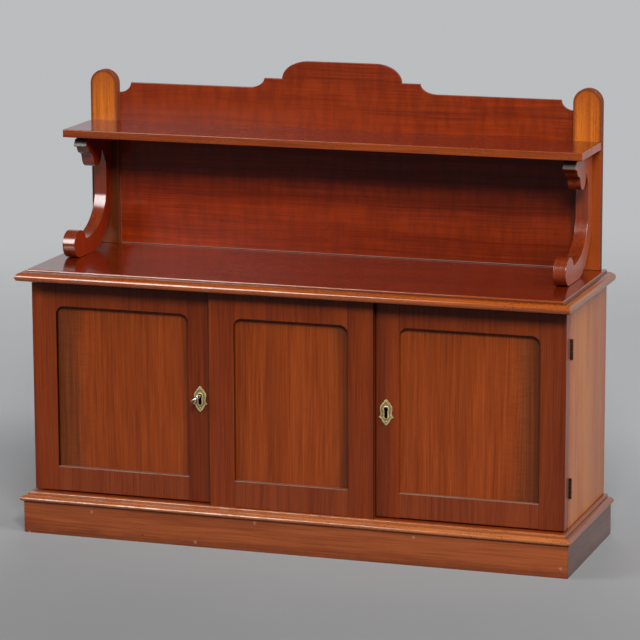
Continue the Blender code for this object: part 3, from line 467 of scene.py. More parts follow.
class CUPBOARD_OT_finishes(bpy.types.Operator):
    """Mix the woods and metals"""

    bl_idname = "cupboard.finishes"
    bl_label = "Finishes"

    def execute(self, context):
        tints = context.scene.cupboard_colours
        frame_wood = tuple(tints.frame_wood)
        edge_wood = tuple(tints.edge_wood)
        waxed = {"gloss": 0.26, "coat": 1.0, "coat_roughness": 0.08, "coat_ior": 1.65}
        rubbed = {**waxed, "patchy": 0.6}
        worn = {"gloss": 0.34, "coat": 0.7, "coat_roughness": 0.15}
        MATERIALS.update(
            stile=wood("stile_mahogany", frame_wood, "Z"),
            # a darker copy for the right door's hinge stile: painted shade
            end_stile=wood("end_stile_mahogany", shade(frame_wood, 0.86, 0.87, 1.0), "Z", shift=(6, 2, 3)),
            # darker wood for the left lock stile, with painted shade towards the centre frame
            dark_stile=wood("dark_stile_mahogany", shade(frame_wood, 0.86, 0.82, 0.8), "Z", shift=(1, 4, 2),
                            local=lock_stile_tones),
            rail=wood("rail_mahogany", frame_wood, "Z", bands=0.8, shift=(3, 1, 7)),
            low_rail=wood("low_rail_mahogany", shade(frame_wood, 1.05, 1.24, 1.9), "Z", bands=0.9,
                          shift=(3, 1, 7)),
            # painted shade towards the centre frame
            lock_stile=wood("lock_stile_mahogany", frame_wood, "Z", shift=(2, 3, 5), local=lock_stile_tones),
            centre_stile=wood("centre_stile_mahogany", frame_wood, "Z", shift=(4, 1, 1),
                              local=centre_stile_tones),
            shaded=wood("shaded_mahogany", shade(frame_wood, 0.7), "Z", gloss=0.45, coat=0.0,
                        local=arris_line),
            # near-black painted shade for the walls of the left door's opening and in the keyholes
            recess=wood("recess_mahogany", shade(frame_wood, 0.10), "Z", gloss=0.5, coat=0.0),
            # pale dust and a painted highlight along the sills
            sill=wood("sill_mahogany", shade(frame_wood, 1.0, 3.2, 14.0), "X", gloss=0.4),
            # a greyer tint for the doors' hinge edges: painted sheen
            door_edge=wood("door_edge_mahogany", tints.door_edge_wood, "Z"),
            panel=wood("panel_mahogany_finish", tints.panel_wood, "Z", bands=0.9, streaks=1.1,
                       local=panel_tones),
            top=wood("top_mahogany", tints.top_wood, "X", gloss=0.24, coat=0.9, coat_roughness=0.06),
            shelf=wood("shelf_mahogany", tints.top_wood, "X", gloss=0.26, coat=0.8, shift=(5, 2, 1),
                       coat_roughness=0.07),
            shelf_edge=wood("shelf_edge_mahogany", shade(edge_wood, 0.80, 0.70, 0.7), "X", gloss=0.3,
                            coat=0.55, coat_roughness=0.1, local=edge_flecks),
            edge=wood("edge_mahogany", shade(edge_wood, 1.06, 1.5, 3.8), "X", local=edge_flecks, **rubbed),
            # a greyer copy for the base moulding's returns: painted reflection of the pale studio
            side_edge=wood("side_edge_mahogany", shade(edge_wood, 0.65, 0.9, 3.0), "Y", local=edge_flecks,
                           **worn),
            top_edge=wood("top_edge_mahogany", edge_wood, "X", local=quirk_line, **{**waxed, "patchy": 0.3}),
            # a paler, greyer copy for the top's moulded ends: painted sheen
            side_top_edge=wood("side_top_edge_mahogany", shade(edge_wood, 0.9, 1.4, 4.5), "Y",
                               local=quirk_line, **worn),
            plinth=wood("plinth_mahogany", tints.plinth_wood, "X", bands=1.3, local=plinth_marks),
            # a darker, greyer copy for the plinth's sides: painted shade and sheen
            side_plinth=wood("side_plinth_mahogany", shade(tints.plinth_wood, 0.5, 0.95, 2.6), "Y", coat=0.4,
                             local=plinth_grime),
            side=wood("side_mahogany_finish", tints.side_wood, "Z", bands=1.2, gloss=0.38,
                      local=side_stripes),
            back=wood("back_board_mahogany", tints.back_wood, "X", bands=1.6, streaks=1.6, figure=0.4,
                      gloss=0.3, local=back_tones),
            upright=wood("upright_mahogany", tints.upright_wood, "Z", pores=0.8, gloss=0.3,
                         local=upright_tones),
            # a darker copy for the uprights' sides: painted shade
            upright_side=wood("upright_side_mahogany", shade(tints.upright_wood, 0.42, 0.32, 1.1), "Z",
                              gloss=0.5, coat=0.0),
            bracket=wood("bracket_mahogany", tints.bracket_wood, "Z", **{**waxed, "coat_roughness": 0.15}),
            # a redder copy for the brackets' inner sides: painted light
            bracket_inner=wood("bracket_inner_mahogany", shade(tints.bracket_wood, 1.32, 0.75, 0.67), "Z",
                               coat=0.3),
            # a paler, pinkish-grey copy for the brackets' outer sides and the shelf's ends: painted sheen
            bracket_outer=wood("bracket_outer_mahogany", shade(tints.bracket_wood, 2.1, 3.0, 6.0), "Z",
                               coat=0.35),
            # a grey copy for the fronts of the brackets' lips: a painted reflection
            bracket_lip=wood("bracket_lip_mahogany", shade(tints.bracket_wood, 0.46, 2.4, 10.0), "X",
                             coat=0.2),
            floor_board=wood("bottom_board_mahogany", frame_wood, "X"),
            softwood_x=softwood("softwood_lengthwise", tints.softwood, "X"),
            softwood_z=softwood("softwood_upright", tints.softwood, "Z"),
            softwood_y=softwood("softwood_crosswise", tints.softwood, "Y"),
            brass_field=metal("cast_brass_field", shade(tints.brass, 0.44, 0.41, 0.35), (0.6, 0.58, 0.54),
                              0.46, metallic=0.5),
            brass=metal("cast_brass_finish", tints.brass, (0.55, 0.53, 0.50), 0.36, metallic=0.5),
            hinge=metal("hinge_brass_finish", tints.dark_brass, (0.45, 0.42, 0.40), 0.42),
            iron=metal("lock_iron_finish", tints.iron, (0.55, 0.52, 0.50), 0.42, 150.0),
            steel=metal("key_steel_finish", tints.steel, (0.62, 0.58, 0.52), 0.20, 300.0),
        )
        return {"FINISHED"}


# Modelling by hand


def activate(obj):
    bpy.ops.object.select_all(action="DESELECT")
    obj.select_set(True)
    bpy.context.view_layer.objects.active = obj


@contextlib.contextmanager
def shaping(obj, start="DESELECT"):
    """Edit mode on one piece, at first with nothing selected, or with everything."""
    activate(obj)
    bpy.ops.object.mode_set(mode="EDIT")
    bpy.ops.mesh.select_mode(type="VERT")
    bpy.ops.mesh.select_all(action=start)
    yield
    bpy.ops.object.mode_set(mode="OBJECT")


def pick(kind, test):
    """Select the VERT, EDGE or FACE elements of the edited mesh that pass a test."""
    bpy.ops.mesh.select_mode(type=kind)
    bpy.ops.mesh.select_all(action="DESELECT")
    mesh = bpy.context.object.data
    bm = bmesh.from_edit_mesh(mesh)
    for item in {"VERT": bm.verts, "EDGE": bm.edges, "FACE": bm.faces}[kind]:
        if test(item):
            item.select_set(True)
    bm.select_flush_mode()
    bmesh.update_edit_mesh(mesh)


def lies(edge, axis, place):
    """Whether an edge lies in the plane across an axis at a place."""
    return all(abs(vert.co["XYZ".index(axis)] - place) < SAME for vert in edge.verts)


def at(axis, *places):
    """A test for edges that lie in a plane across an axis, at one of the places."""
    return lambda edge: any(lies(edge, axis, place) for place in places)


def looks(axis, sign):
    """A test for faces that look along an axis, or with -1 against it."""
    return lambda face: face.normal["XYZ".index(axis)] * sign > FACING


def new_piece(name):
    obj = bpy.context.object
    obj.name = name
    obj.data.name = name
    bpy.ops.object.transform_apply(location=True, rotation=True, scale=True)
    return obj


def added(name, primitive, **settings):
    """A new piece made by one of the operators that add a simple form, to be shaped further."""
    bpy.ops.object.select_all(action="DESELECT")
    primitive(**settings)
    return new_piece(name)


def block(name, low, high):
    """A board between two corners."""
    low, high = Vector(low), Vector(high)
    cube = bpy.ops.mesh.primitive_cube_add
    return added(name, cube, size=1.0, location=(low + high) / 2, scale=high - low)


def rod(name, radius, length, centre, axis, sides=32):
    """A round bar along Y or Z."""
    turn = {"Y": (math.pi / 2, 0, 0), "Z": (0, 0, 0)}[axis]
    bar = bpy.ops.mesh.primitive_cylinder_add
    return added(name, bar, vertices=sides, radius=radius, depth=length, location=centre, rotation=turn)


def chain(name, points):
    """A line of edges, drawn by pulling one corner from point to point."""
    obj = added(name, bpy.ops.mesh.primitive_plane_add, size=1.0)
    with shaping(obj, "SELECT"):
        bpy.ops.mesh.merge(type="CENTER")
        here = Vector(points[0])
        bpy.ops.transform.translate(value=here)
        for point in points[1:]:
            step = Vector(point) - here
            bpy.ops.mesh.extrude_vertices_move(TRANSFORM_OT_translate={"value": step})
            here = Vector(point)
    return obj


def face_out(weld=False):
    """Turn all faces of the edited piece outwards, with weld after joining the points that meet."""
    bpy.ops.mesh.select_all(action="SELECT")
    if weld:
        bpy.ops.mesh.remove_doubles(threshold=SAME / 4)
    bpy.ops.mesh.normals_make_consistent(inside=False)


def extrude(step):
    """Pull the selected faces out by a step, with new faces behind them."""
    bpy.ops.mesh.extrude_region_move(TRANSFORM_OT_translate={"value": step})


def drawn(name, points, pull):
    """A closed outline, filled and pulled to its thickness."""
    obj = chain(name, points)
    with shaping(obj, "SELECT"):
        bpy.ops.mesh.edge_face_add()
        bpy.ops.mesh.select_all(action="SELECT")
        extrude(pull)
        face_out()
    return obj


def turned(name, profile, centre, axis, sides=24):
    """A profile of points spun round an axis."""
    obj = chain(name, profile)
    with shaping(obj, "SELECT"):
        bpy.ops.mesh.spin(steps=sides, angle=2 * math.pi, center=centre, axis=axis)
        face_out(weld=True)
    return obj


def round_edges(obj, width, where=None, segments=3):
    """Round the sharp edges that pass a test."""
    with shaping(obj):
        pick("EDGE", lambda edge: edge.calc_face_angle(0) > SHARP and (where is None or where(edge)))
        bpy.ops.mesh.bevel(offset=width, offset_type="OFFSET", segments=segments, profile=0.5, affect="EDGES",
                           clamp_overlap=True)


def slice_at(obj, point, normal):
    """Cut a piece along a plane, and take off the side that the normal points to."""
    with shaping(obj, "SELECT"):
        bpy.ops.mesh.bisect(plane_co=point, plane_no=normal, use_fill=True, clear_outer=True)


def combine(obj, tools, operation="DIFFERENCE"):
    """Cut tools out of a piece, or weld them to it."""
    for tool in tools:
        boolean = obj.modifiers.new("combine", "BOOLEAN")
        boolean.operation = operation
        boolean.solver = "EXACT"
        boolean.object = tool
        activate(obj)
        bpy.ops.object.modifier_apply(modifier=boolean.name)
        bpy.data.objects.remove(tool, do_unlink=True)
    return obj


def joined(name, pieces):
    """Several small pieces as one object."""
    bpy.ops.object.select_all(action="DESELECT")
    for piece in pieces:
        piece.select_set(True)
    bpy.context.view_layer.objects.active = pieces[0]
    bpy.ops.object.join()
    pieces[0].name = name
    pieces[0].data.name = name
    return pieces[0]


def copied(name, obj, shift, turn):
    """A copy with its own mesh, turned about the origin and moved."""
    activate(obj)
    bpy.ops.object.duplicate(linked=False)
    twin = bpy.context.object
    twin.rotation_euler = turn
    twin.location = shift
    return new_piece(name)


def mirrored(name, obj):
    """A copy on the other side of the middle, with its faces turned out again."""
    activate(obj)
    bpy.ops.object.duplicate(linked=False)
    bpy.context.object.scale.x = -1
    twin = new_piece(name)
    with shaping(twin):
        face_out(weld=True)
    return twin


def done(obj, body, slot, material, *replaced):
    """Smooth shading, finish and body of a modelled piece, and the solids that it stands for."""
    activate(obj)
    bpy.ops.object.shade_smooth_by_angle(angle=SMOOTH)
    even = obj.modifiers.new("even shading", "WEIGHTED_NORMAL")
    even.keep_sharp = True
    bpy.ops.object.modifier_apply(modifier=even.name)
    obj.data.materials.clear()
    obj.data.materials.append(MATERIALS[material])
    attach(obj, body)
    if replaced:
        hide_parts(*replaced)


def refinish(obj, material, test):
    """Give another finish to the faces that pass a test."""
    obj.data.materials.append(MATERIALS[material])
    with shaping(obj):
        pick("FACE", test)
        obj.active_material_index = len(obj.data.materials) - 1
        bpy.ops.object.material_slot_assign()


def arc(centre, half, start, end, steps):
    """Points along an ellipse, from one angle to another in degrees."""
    angles = [math.radians(start + (end - start) * i / steps) for i in range(steps + 1)]
    return [(centre[0] + half[0] * math.cos(a), centre[1] + half[1] * math.sin(a)) for a in angles]


def bezier(start, first, second, end, steps):
    """Points along a cubic curve with two handles."""
    corners = (start, first, second, end)
    points = []
    for i in range(steps + 1):
        t = i / steps
        weights = ((1 - t) ** 3, 3 * t * (1 - t) ** 2, 3 * t * t * (1 - t), t**3)
        points.append(tuple(sum(w * c[k] for w, c in zip(weights, corners)) for k in (0, 1)))
    return points


# Plinth and mouldings

PLINTH_LOW, PLINTH_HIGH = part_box("plinth_front")
PLINTH_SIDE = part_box("plinth_right")[1].x
BACK_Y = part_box("plinth_right")[1].y


def trim_mitres(obj, word):
    """Cut a front, left or right length to its mitres."""
    if word == "front":
        slice_at(obj, (PLINTH_LOW.x, PLINTH_LOW.y, 0), (-1, 1, 0))
        slice_at(obj, (PLINTH_HIGH.x, PLINTH_LOW.y, 0), (1, 1, 0))
    else:
        side = dict(SIDES)[word]
        slice_at(obj, (side * PLINTH_SIDE, PLINTH_LOW.y + FIT, 0), (-side, -1, 0))


class CUPBOARD_OT_plinth(bpy.types.Operator):
    """Model the three mitred boards of the plinth, with a knocked corner"""

    bl_idname = "cupboard.plinth"
    bl_label = "Plinth"

    def execute(self, context):
        sizes = context.scene.cupboard_sizes
        for word in ("front", "left", "right"):
            node = "plinth_" + word
            board = block(node + "_board", *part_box(node))
            trim_mitres(board, word)
            if word == "front":
                with shaping(board):
                    pick("VERT", lambda v: (v.co - PLINTH_LOW).length < SAME)
                    bpy.ops.mesh.bevel(offset=sizes.worn_corner, segments=4, affect="VERTICES")
            round_edges(board, sizes.arris)
            done(board, "carcase", POLISHED, "plinth" if word == "front" else "side_plinth", node)
        return {"FINISHED"}


def bead_section(low, high):
    """Base moulding's section, a bead under a small fillet, as (outward from the plinth's face, height)."""
    nose = 0.0045
    rise = 0.0036
    bead = 0.0090
    quirk = 0.0052
    fillet = 0.0007
    cap = 0.0014
    base = low.z
    top = high.z
    inner = -0.0109
    points = [(inner, base)]
    points += arc((0, base + rise), (nose, rise), -90, 0, 10)
    points += arc((-quirk + fillet, base + rise), (nose + quirk - fillet, bead - rise), 0, 90, 14)[1:]
    points += [(-quirk - fillet / 2, base + bead - fillet / 2), (-quirk, base + bead + fillet)]
    points += arc((-quirk - cap, top - cap), (cap, cap), 0, 90, 5)
    points += [(inner, top)]
    return points


class CUPBOARD_OT_base_moulding(bpy.types.Operator):
    """Model the base moulding in three mitred lengths"""

    bl_idname = "cupboard.base_moulding"
    bl_label = "Base moulding"

    def execute(self, context):
        section = bead_section(*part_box("base_bead_front"))
        start = -PLINTH_SIDE - OVERSHOOT
        points = [(start, PLINTH_LOW.y - out, z) for out, z in section]
        lengths = {"front": drawn("base_moulding_front", points, (-2 * start, 0, 0))}
        start = PLINTH_LOW.y - OVERSHOOT
        for word, side in SIDES:
            points = [(side * (PLINTH_SIDE + out), start, z) for out, z in section]
            lengths[word] = drawn("base_moulding_" + word, points, (0, BACK_Y - start, 0))
        for word, piece in lengths.items():
            trim_mitres(piece, word)
            finish = "edge" if word == "front" else "side_edge"
            done(piece, "carcase", POLISHED, finish, "base_bead_" + word)
        return {"FINISHED"}


def top_profile(thickness):
    """Edge of the top board, from its undercut up to its soft fillet, as (inset from the nose, height)."""
    undercut = 0.0045
    nose = 0.0062
    upper = 0.0130
    quirk = 0.0005
    wall = upper + 2 * quirk
    rise = 0.0011
    fillet = (0.0016, thickness - THUMB_RISE - rise)
    steps = arc((undercut, nose), (-undercut, nose), -90, 0, 8)
    steps += arc((upper, nose), (-upper, THUMB_RISE - nose), 0, 86, 14)[1:]
    steps += [(upper + quirk, THUMB_RISE - quirk), (wall, THUMB_RISE - quirk)]
    steps += arc((wall + fillet[0], THUMB_RISE + rise), (-fillet[0], fillet[1]), 0, 90, 8)
    return steps


class CUPBOARD_OT_moulded_top(bpy.types.Operator):
    """Model the top board up its moulded edge"""

    bl_idname = "cupboard.moulded_top"
    bl_label = "Moulded top"

    def execute(self, context):
        low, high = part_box("moulded_top")
        steps = top_profile(high.z - low.z)
        inset = steps[0][0]
        size = Vector((high.x - low.x - 2 * inset, high.y - low.y - inset, 1))
        bpy.ops.object.select_all(action="DESELECT")
        centre = (0, high.y - size.y / 2, low.z)
        bpy.ops.mesh.primitive_plane_add(size=1.0, location=centre)
        bpy.context.object.scale = size
        top = new_piece("moulded_top_board")
        with shaping(top, "SELECT"):
            for (before, lower), (inset, height) in zip(steps, steps[1:]):
                extrude((0, 0, height - lower))
                wide = (high.x - inset) / (high.x - before)
                deep = (high.y - low.y - inset) / (high.y - low.y - before)
                bpy.ops.transform.resize(value=(wide, deep, 1), center_override=(0, high.y, low.z + height))
            face_out()
        done(top, "carcase", POLISHED, "top", "moulded_top")
        refinish(top, "top_edge", lambda face: face.normal.y < -0.1 or face.normal.z < -0.5)
        refinish(top, "side_top_edge", lambda face: abs(face.normal.x) > 0.1)
        return {"FINISHED"}


# Door frames and centre frame

KEYHOLE_RADIUS = 0.0033
KEYHOLE_WAIST = 0.0022
KEYHOLE_END = 0.0027  # radius of the slot's lower end
KEYHOLE_DROP = 0.0110  # of that end's middle, below the key's axis


def keyhole_outline(grow=0.0):
    """Round hole over a slot that widens to its round end, about the key's axis, as (across, up)."""
    radius = KEYHOLE_RADIUS + grow
    end = KEYHOLE_END + grow
    join = math.degrees(math.asin((KEYHOLE_WAIST + grow) / radius))
    points = arc((0, 0), (radius, radius), -90 + join, 270 - join, 20)
    points += arc((0, -KEYHOLE_DROP), (end, end), 180, 360, 12)
    return points


def in_keyhole(face, axis):
    """Whether a face is part of a keyhole's wall."""
    away = face.calc_center_median() - axis
    reach = KEYHOLE_RADIUS + FIT
    low = -KEYHOLE_DROP - KEYHOLE_END - FIT
    return abs(face.normal.y) < 0.3 and abs(away.x) < reach and low < away.z < reach


def key_axis(word):
    """Where a door's key turns: the left lock's axis, or its mirror image."""
    x, y, z = JOINTS["left_key_turn"]["pos_m"]
    return Vector((x if word == "left" else -x, y, z))


def facing(points, y, about=(0, 0, 0)):
    """Points of (across, up) in the plane that faces the front at y."""
    return [(about[0] + x, y, about[2] + z) for x, z in points]


def opening_cutter(inner, sill, head, radius, front, arris):
    """Cutter in the shape of a frame's opening, flared at the front so that it leaves a rounded arris."""
    outline = [(inner[0], sill), (inner[1], sill)]
    outline += arc((inner[1] - radius, head - radius), (radius, radius), 0, 90, 12)
    outline += arc((inner[0] + radius, head - radius), (radius, radius), 90, 180, 12)
    cutter = drawn("opening", facing(outline, front + arris), (0, 2 * OVERSHOOT, 0))
    middle = ((inner[0] + inner[1]) / 2, 0, (sill + head) / 2)
    wide, tall = inner[1] - middle[0], head - middle[2]
    flare = arc((arris, arris), (arris, arris), 180, 270, 5)
    with shaping(cutter):
        pick("FACE", looks("Y", -1))
        for (grown, deep), (grow, depth) in zip(flare, flare[1:]):
            extrude((0, depth - deep, 0))
            growth = ((wide + grow) / (wide + grown), 1, (tall + grow) / (tall + grown))
            bpy.ops.transform.resize(value=growth, center_override=middle)
        extrude((0, -OVERSHOOT, 0))
        face_out()
    return cutter


def frame_opening(prefix, stiles):
    """A frame's opening: its two sides, its sill and its head."""
    boxes = [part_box(f"{prefix}_{name}") for name in stiles]
    inner = (min(high.x for _, high in boxes), max(low.x for low, _ in boxes))
    sill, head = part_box(prefix + "_bottom_rail")[1].z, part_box(prefix + "_top_rail")[1].z
    if prefix == "centre":
        return inner, sill + CENTRE_SILL_LIFT, head - CENTRE_RAIL_HEIGHT
    return inner, sill, head - RAIL_HEIGHT


FRAME_FINISHES = {"top_rail": "rail", "bottom_rail": "low_rail"}


def darken_recess(board, opening, arris):
    """Near-black painted shade on the walls of a frame's opening, above its sill."""
    inner, sill, head = opening

    def on_wall(face):
        spot = face.calc_center_median()
        inside = inner[0] - arris < spot.x < inner[1] + arris and sill + arris < spot.z < head + arris
        return inside and abs(face.normal.y) < 0.6

    refinish(board, "recess", on_wall)


def sill_dust_and_highlight(board, opening, arris):
    """Pale dust and a painted highlight on the sill of a frame's opening."""
    _, sill, _ = opening

    def on_sill(face):
        return face.normal.z > 0.25 and abs(face.calc_center_median().z - sill) < arris

    refinish(board, "sill", on_sill)


def make_members(prefix, stiles, sizes):
    """Two stiles and two rails round a panel, with a rounded arris and a rebate, as name: (board, node)."""
    panel_low, panel_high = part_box(prefix + "_panel")
    names = (*stiles, "bottom_rail", "top_rail")
    boxes = {name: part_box(f"{prefix}_{name}") for name in names}
    inner, sill, head = frame_opening(prefix, stiles)
    front, back = boxes["bottom_rail"][0].y, boxes["bottom_rail"][1].y
    gap = Vector((FIT, FIT, FIT))
    boxes["bottom_rail"][1].z = sill
    boxes["top_rail"][0].z = min(boxes["top_rail"][0].z, head - sizes.corner_radius)
    pieces = {}
    for name in names:
        low, high = boxes[name]
        board = block(f"{prefix}_{name}_board", low, high)
        if name in stiles:
            outside = low.x if high.x < inner[1] - SAME else high.x
            round_edges(board, sizes.arris, lambda e: lies(e, "X", outside) and not lies(e, "Z", low.z))
        elif name == "bottom_rail":
            round_edges(board, sizes.arris, lambda e: lies(e, "Z", low.z) and lies(e, "Y", front))
        opening = opening_cutter(inner, sill, head, sizes.corner_radius, front, sizes.opening_arris)
        hollow = block("rebate", panel_low - gap, panel_high + gap)
        with shaping(hollow):
            pick("FACE", looks("Y", 1))
            bpy.ops.transform.translate(value=(0, back - panel_high.y + OVERSHOOT, 0))
        pieces[name] = (combine(board, [opening, hollow]), f"{prefix}_{name}")
    return pieces


class CUPBOARD_OT_frames(bpy.types.Operator):
    """Model the frames of both doors and of the fixed centre, with hinge housings and keyholes"""

    bl_idname = "cupboard.frames"
    bl_label = "Frames"

    def execute(self, context):
        sizes = context.scene.cupboard_sizes
        stiles = ("left_stile", "right_stile")
        opening = frame_opening("centre", stiles)
        for name, (board, node) in make_members("centre", stiles, sizes).items():
            done(board, "carcase", POLISHED, FRAME_FINISHES.get(name, "centre_stile"), node)
            sill_dust_and_highlight(board, opening, sizes.opening_arris)
            refinish(board, "shaded", lambda face: abs(face.normal.x) > FACING)
        stiles = ("hinge_stile", "lock_stile")
        for word, side in SIDES:
            body = word + "_door"
            opening = frame_opening(body, stiles)
            pieces = make_members(body, stiles, sizes)
            for place in ("upper", "lower"):
                self.house_leaf(pieces["hinge_stile"][0], f"{word}_{place}_hinge", side)
            axis = key_axis(word)
            hole = facing(keyhole_outline(), axis.y - OVERSHOOT, axis)
            combine(pieces["lock_stile"][0], [drawn("keyhole", hole, (0, 4 * OVERSHOOT, 0))])
            for name, (board, node) in pieces.items():
                finish = FRAME_FINISHES.get(name, "stile")
                if name == "lock_stile":
                    finish = "dark_stile" if word == "left" else "lock_stile"
                elif node == "right_door_hinge_stile":
                    finish = "end_stile"
                done(board, body, POLISHED, finish, node)
                sill_dust_and_highlight(board, opening, sizes.opening_arris)
                if word == "left":
                    darken_recess(board, opening, sizes.opening_arris)
                if name == "lock_stile":
                    # Painted shade on the keyhole's walls.
                    refinish(board, "recess", lambda face: in_keyhole(face, axis))
                if name == "hinge_stile":
                    refinish(board, "door_edge", looks("X", side))
        return {"FINISHED"}

    @staticmethod
    def house_leaf(stile, hinge, side):
        """Sink a hinge leaf's place into the back of its stile."""
        low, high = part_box(hinge + "_door_leaf")
        far_x = low.x - FIT if side > 0 else high.x + FIT
        xs = sorted((far_x, side * (abs(far_x) + 2 * OVERSHOOT)))
        axis_y = (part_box(hinge + "_pin")[0].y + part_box(hinge + "_pin")[1].y) / 2
        sunk = axis_y - LEAF_PLAY - LEAF_THICKNESS - FIT
        corners = ((xs[0], sunk, low.z - FIT), (xs[1], axis_y + OVERSHOOT, high.z + FIT))
        combine(stile, [block("housing", *corners)])


# Boards whose solids already have the right shape

BOARD_FINISHES = {
    "panel": ("left_door_panel", "right_door_panel", "centre_panel"),
    "side": ("left_side", "right_side"),
    "floor_board": ("bottom_board",),
    "softwood_x": ("plinth_back", "front_top_rail", "inner_shelf", "carcase_back"),
    "softwood_z": ("left_post", "right_post", "left_corner_block", "right_corner_block"),
    "softwood_y": ("left_shelf_cleat", "right_shelf_cleat"),
}


class CUPBOARD_OT_boards(bpy.types.Operator):
    """Finish the panels, sides and inside boards, whose solids have the right shape"""

    bl_idname = "cupboard.boards"
    bl_label = "Boards"

    def execute(self, context):
        for finish, nodes in BOARD_FINISHES.items():
            for node in nodes:
                slots = NODES[node].data.materials
                slots.clear()
                slots.append(MATERIALS[finish])
        return {"FINISHED"}


# Gallery


class CUPBOARD_OT_gallery(bpy.types.Operator):
    """Model the uprights, the shaped back board and the shelf"""

    bl_idname = "cupboard.gallery"
    bl_label = "Gallery"

    def execute(self, context):
        sizes = context.scene.cupboard_sizes
        for word, _ in SIDES:
            node = word + "_upright"
            low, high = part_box(node)
            half = (high.x - low.x) / 2
            middle = (low.x + high.x) / 2
            outline = [(low.x, low.z), (high.x, low.z)]
            outline += arc((middle, high.z - half), (half, half), 0, 180, 36)
            piece = drawn(node + "_board", facing(outline, low.y), (0, high.y - low.y, 0))
            round_edges(piece, sizes.arris, at("Y", low.y, high.y))
            done(piece, "carcase", POLISHED, "upright", node)
            refinish(piece, "upright_side", lambda face: abs(face.normal.y) < 0.5)

        low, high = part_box("back_board")
        half = self.crest(high.x, high.z)
        outline = half + [(high.x, low.z), (low.x, low.z)] + [(-x, z) for x, z in reversed(half)]
        piece = drawn("back_board_shaped", facing(outline, low.y), (0, high.y - low.y, 0))
        round_edges(piece, sizes.arris, at("Y", low.y, high.y), 2)
        done(piece, "carcase", POLISHED, "back", "back_board")

        low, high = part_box("gallery_shelf")
        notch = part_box("left_upright")[0].y - FIT
        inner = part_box("back_board")[1].x
        plan = [(low.x, low.y), (high.x, low.y), (high.x, notch), (inner, notch), (inner, high.y)]
        plan += [(-inner, high.y), (-inner, notch), (low.x, notch)]
        piece = drawn("gallery_shelf_board", [(x, y, low.z) for x, y in plan], (0, 0, high.z - low.z))
        round_edges(piece, sizes.opening_arris, lambda e: all(v.co.y < notch + SAME for v in e.verts), 4)
        done(piece, "carcase", POLISHED, "shelf", "gallery_shelf")
        refinish(piece, "shelf_edge", lambda face: abs(face.normal.z) < FACING)
        # The shelf's ends take the brackets' outer copy, with its painted sheen.
        refinish(piece, "bracket_outer", lambda face: abs(face.normal.x) > 0.7)
        return {"FINISHED"}

    @staticmethod
    def crest(end, top):
        """Right half of the shaped top edge, from the middle outwards, as (across, height)."""
        flat = 0.0528
        shoulder = (0.042, 0.028)
        ledge = 0.029
        cove = (0.0266, 0.015)
        end_cove = (0.020, 0.0155)
        step = top - shoulder[1]
        straight = step - cove[1]
        cove_end = flat + shoulder[0] + ledge + cove[0]
        half = arc((flat, step), shoulder, 90, 0, 16)
        half += arc((cove_end, step), cove, 180, 270, 12)
        half += arc((end, straight), end_cove, 180, 270, 12)
        return half


# Brackets

BRACKET_EXTRA = 0.0018  # of a bracket's thickness towards the middle, over its solid
BRACKET_LIP_DROP = 0.0145  # of the lip's lower edge, below the shelf


def bracket_outline(rise, shelf_reach):
    """Side of a scroll bracket, from the hollow under the shelf round to the heel, as (reach, height)."""
    neck = 0.0215
    lip = shelf_reach - 0.0125
    foot_half = (0.0235, 0.0208)
    foot = (0.1525 - foot_half[0], foot_half[1])
    cusp = foot[0] - foot_half[0] - 0.001
    bow_rise = 0.088
    bow_half = (cusp - neck, bow_rise - 0.0255)
    heel = cusp - 0.031
    back = 0.054
    hollow = [(-0.0150, 0), (-0.0140, -0.0020), (-0.0110, -0.0035)]
    hollow += bezier((-0.0048, -0.0045), (-0.0029, -0.0075), (-0.0012, -0.0110), (0, -0.0140), 6)
    hollow += [(-0.0004, -0.0150), (-0.0095, -0.0172), (-0.0140, -0.0240), (-0.0154, -0.0262)]
    hollow += [(-0.0250, -0.0290), (-0.0290, -0.0330)]
    head = [(lip + reach, drop) for reach, drop in hollow]
    lobe = lip - 0.0300
    head += bezier((lobe, -0.0360), (lobe - 0.0025, -0.0560), (0.0400, -0.0580), (0.0362, -0.0300), 16)[1:]
    head += bezier((0.0356, -0.0285), (0.0290, -0.0360), (0.0220, -0.0460), (neck, -0.0620), 8)
    outline = [(0, rise)] + [(reach, rise + drop) for reach, drop in head]
    outline += arc((cusp, bow_rise), bow_half, 180, 270, 28)
    outline += arc(foot, foot_half, 160, -90, 30)
    outline += bezier((heel, 0), (heel * 0.60, 0), (heel * 0.20, back * 0.6), (0, back), 14)
    return outline


class CUPBOARD_OT_brackets(bpy.types.Operator):
    """Model the scroll brackets under the shelf"""

    bl_idname = "cupboard.brackets"
    bl_label = "Brackets"

    def execute(self, context):
        sizes = context.scene.cupboard_sizes
        low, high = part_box("left_bracket")
        shelf_reach = high.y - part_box("gallery_shelf")[0].y + FIT
        outline = bracket_outline(high.z - low.z, shelf_reach)
        points = [(low.x, high.y - reach, low.z + height) for reach, height in outline]
        inner = high.x + BRACKET_EXTRA
        lip = high.z - BRACKET_LIP_DROP
        bracket = drawn("left_scroll_bracket", points, (inner - low.x, 0, 0))
        round_edges(bracket, sizes.arris, at("X", low.x, inner))
        twin = mirrored("right_scroll_bracket", bracket)

        def on_lip(face):
            return face.normal.y < -0.5 and face.calc_center_median().z > lip

        for piece, (word, side) in zip((bracket, twin), SIDES):
            done(piece, "carcase", POLISHED, "bracket", word + "_bracket")
            # The brackets' sides and lips get copies of the finish with painted light, sheen and reflection.
            refinish(piece, "bracket_inner", looks("X", -side))
            refinish(piece, "bracket_outer", looks("X", side))
            refinish(piece, "bracket_lip", on_lip)
        return {"FINISHED"}


# Brass and iron fittings


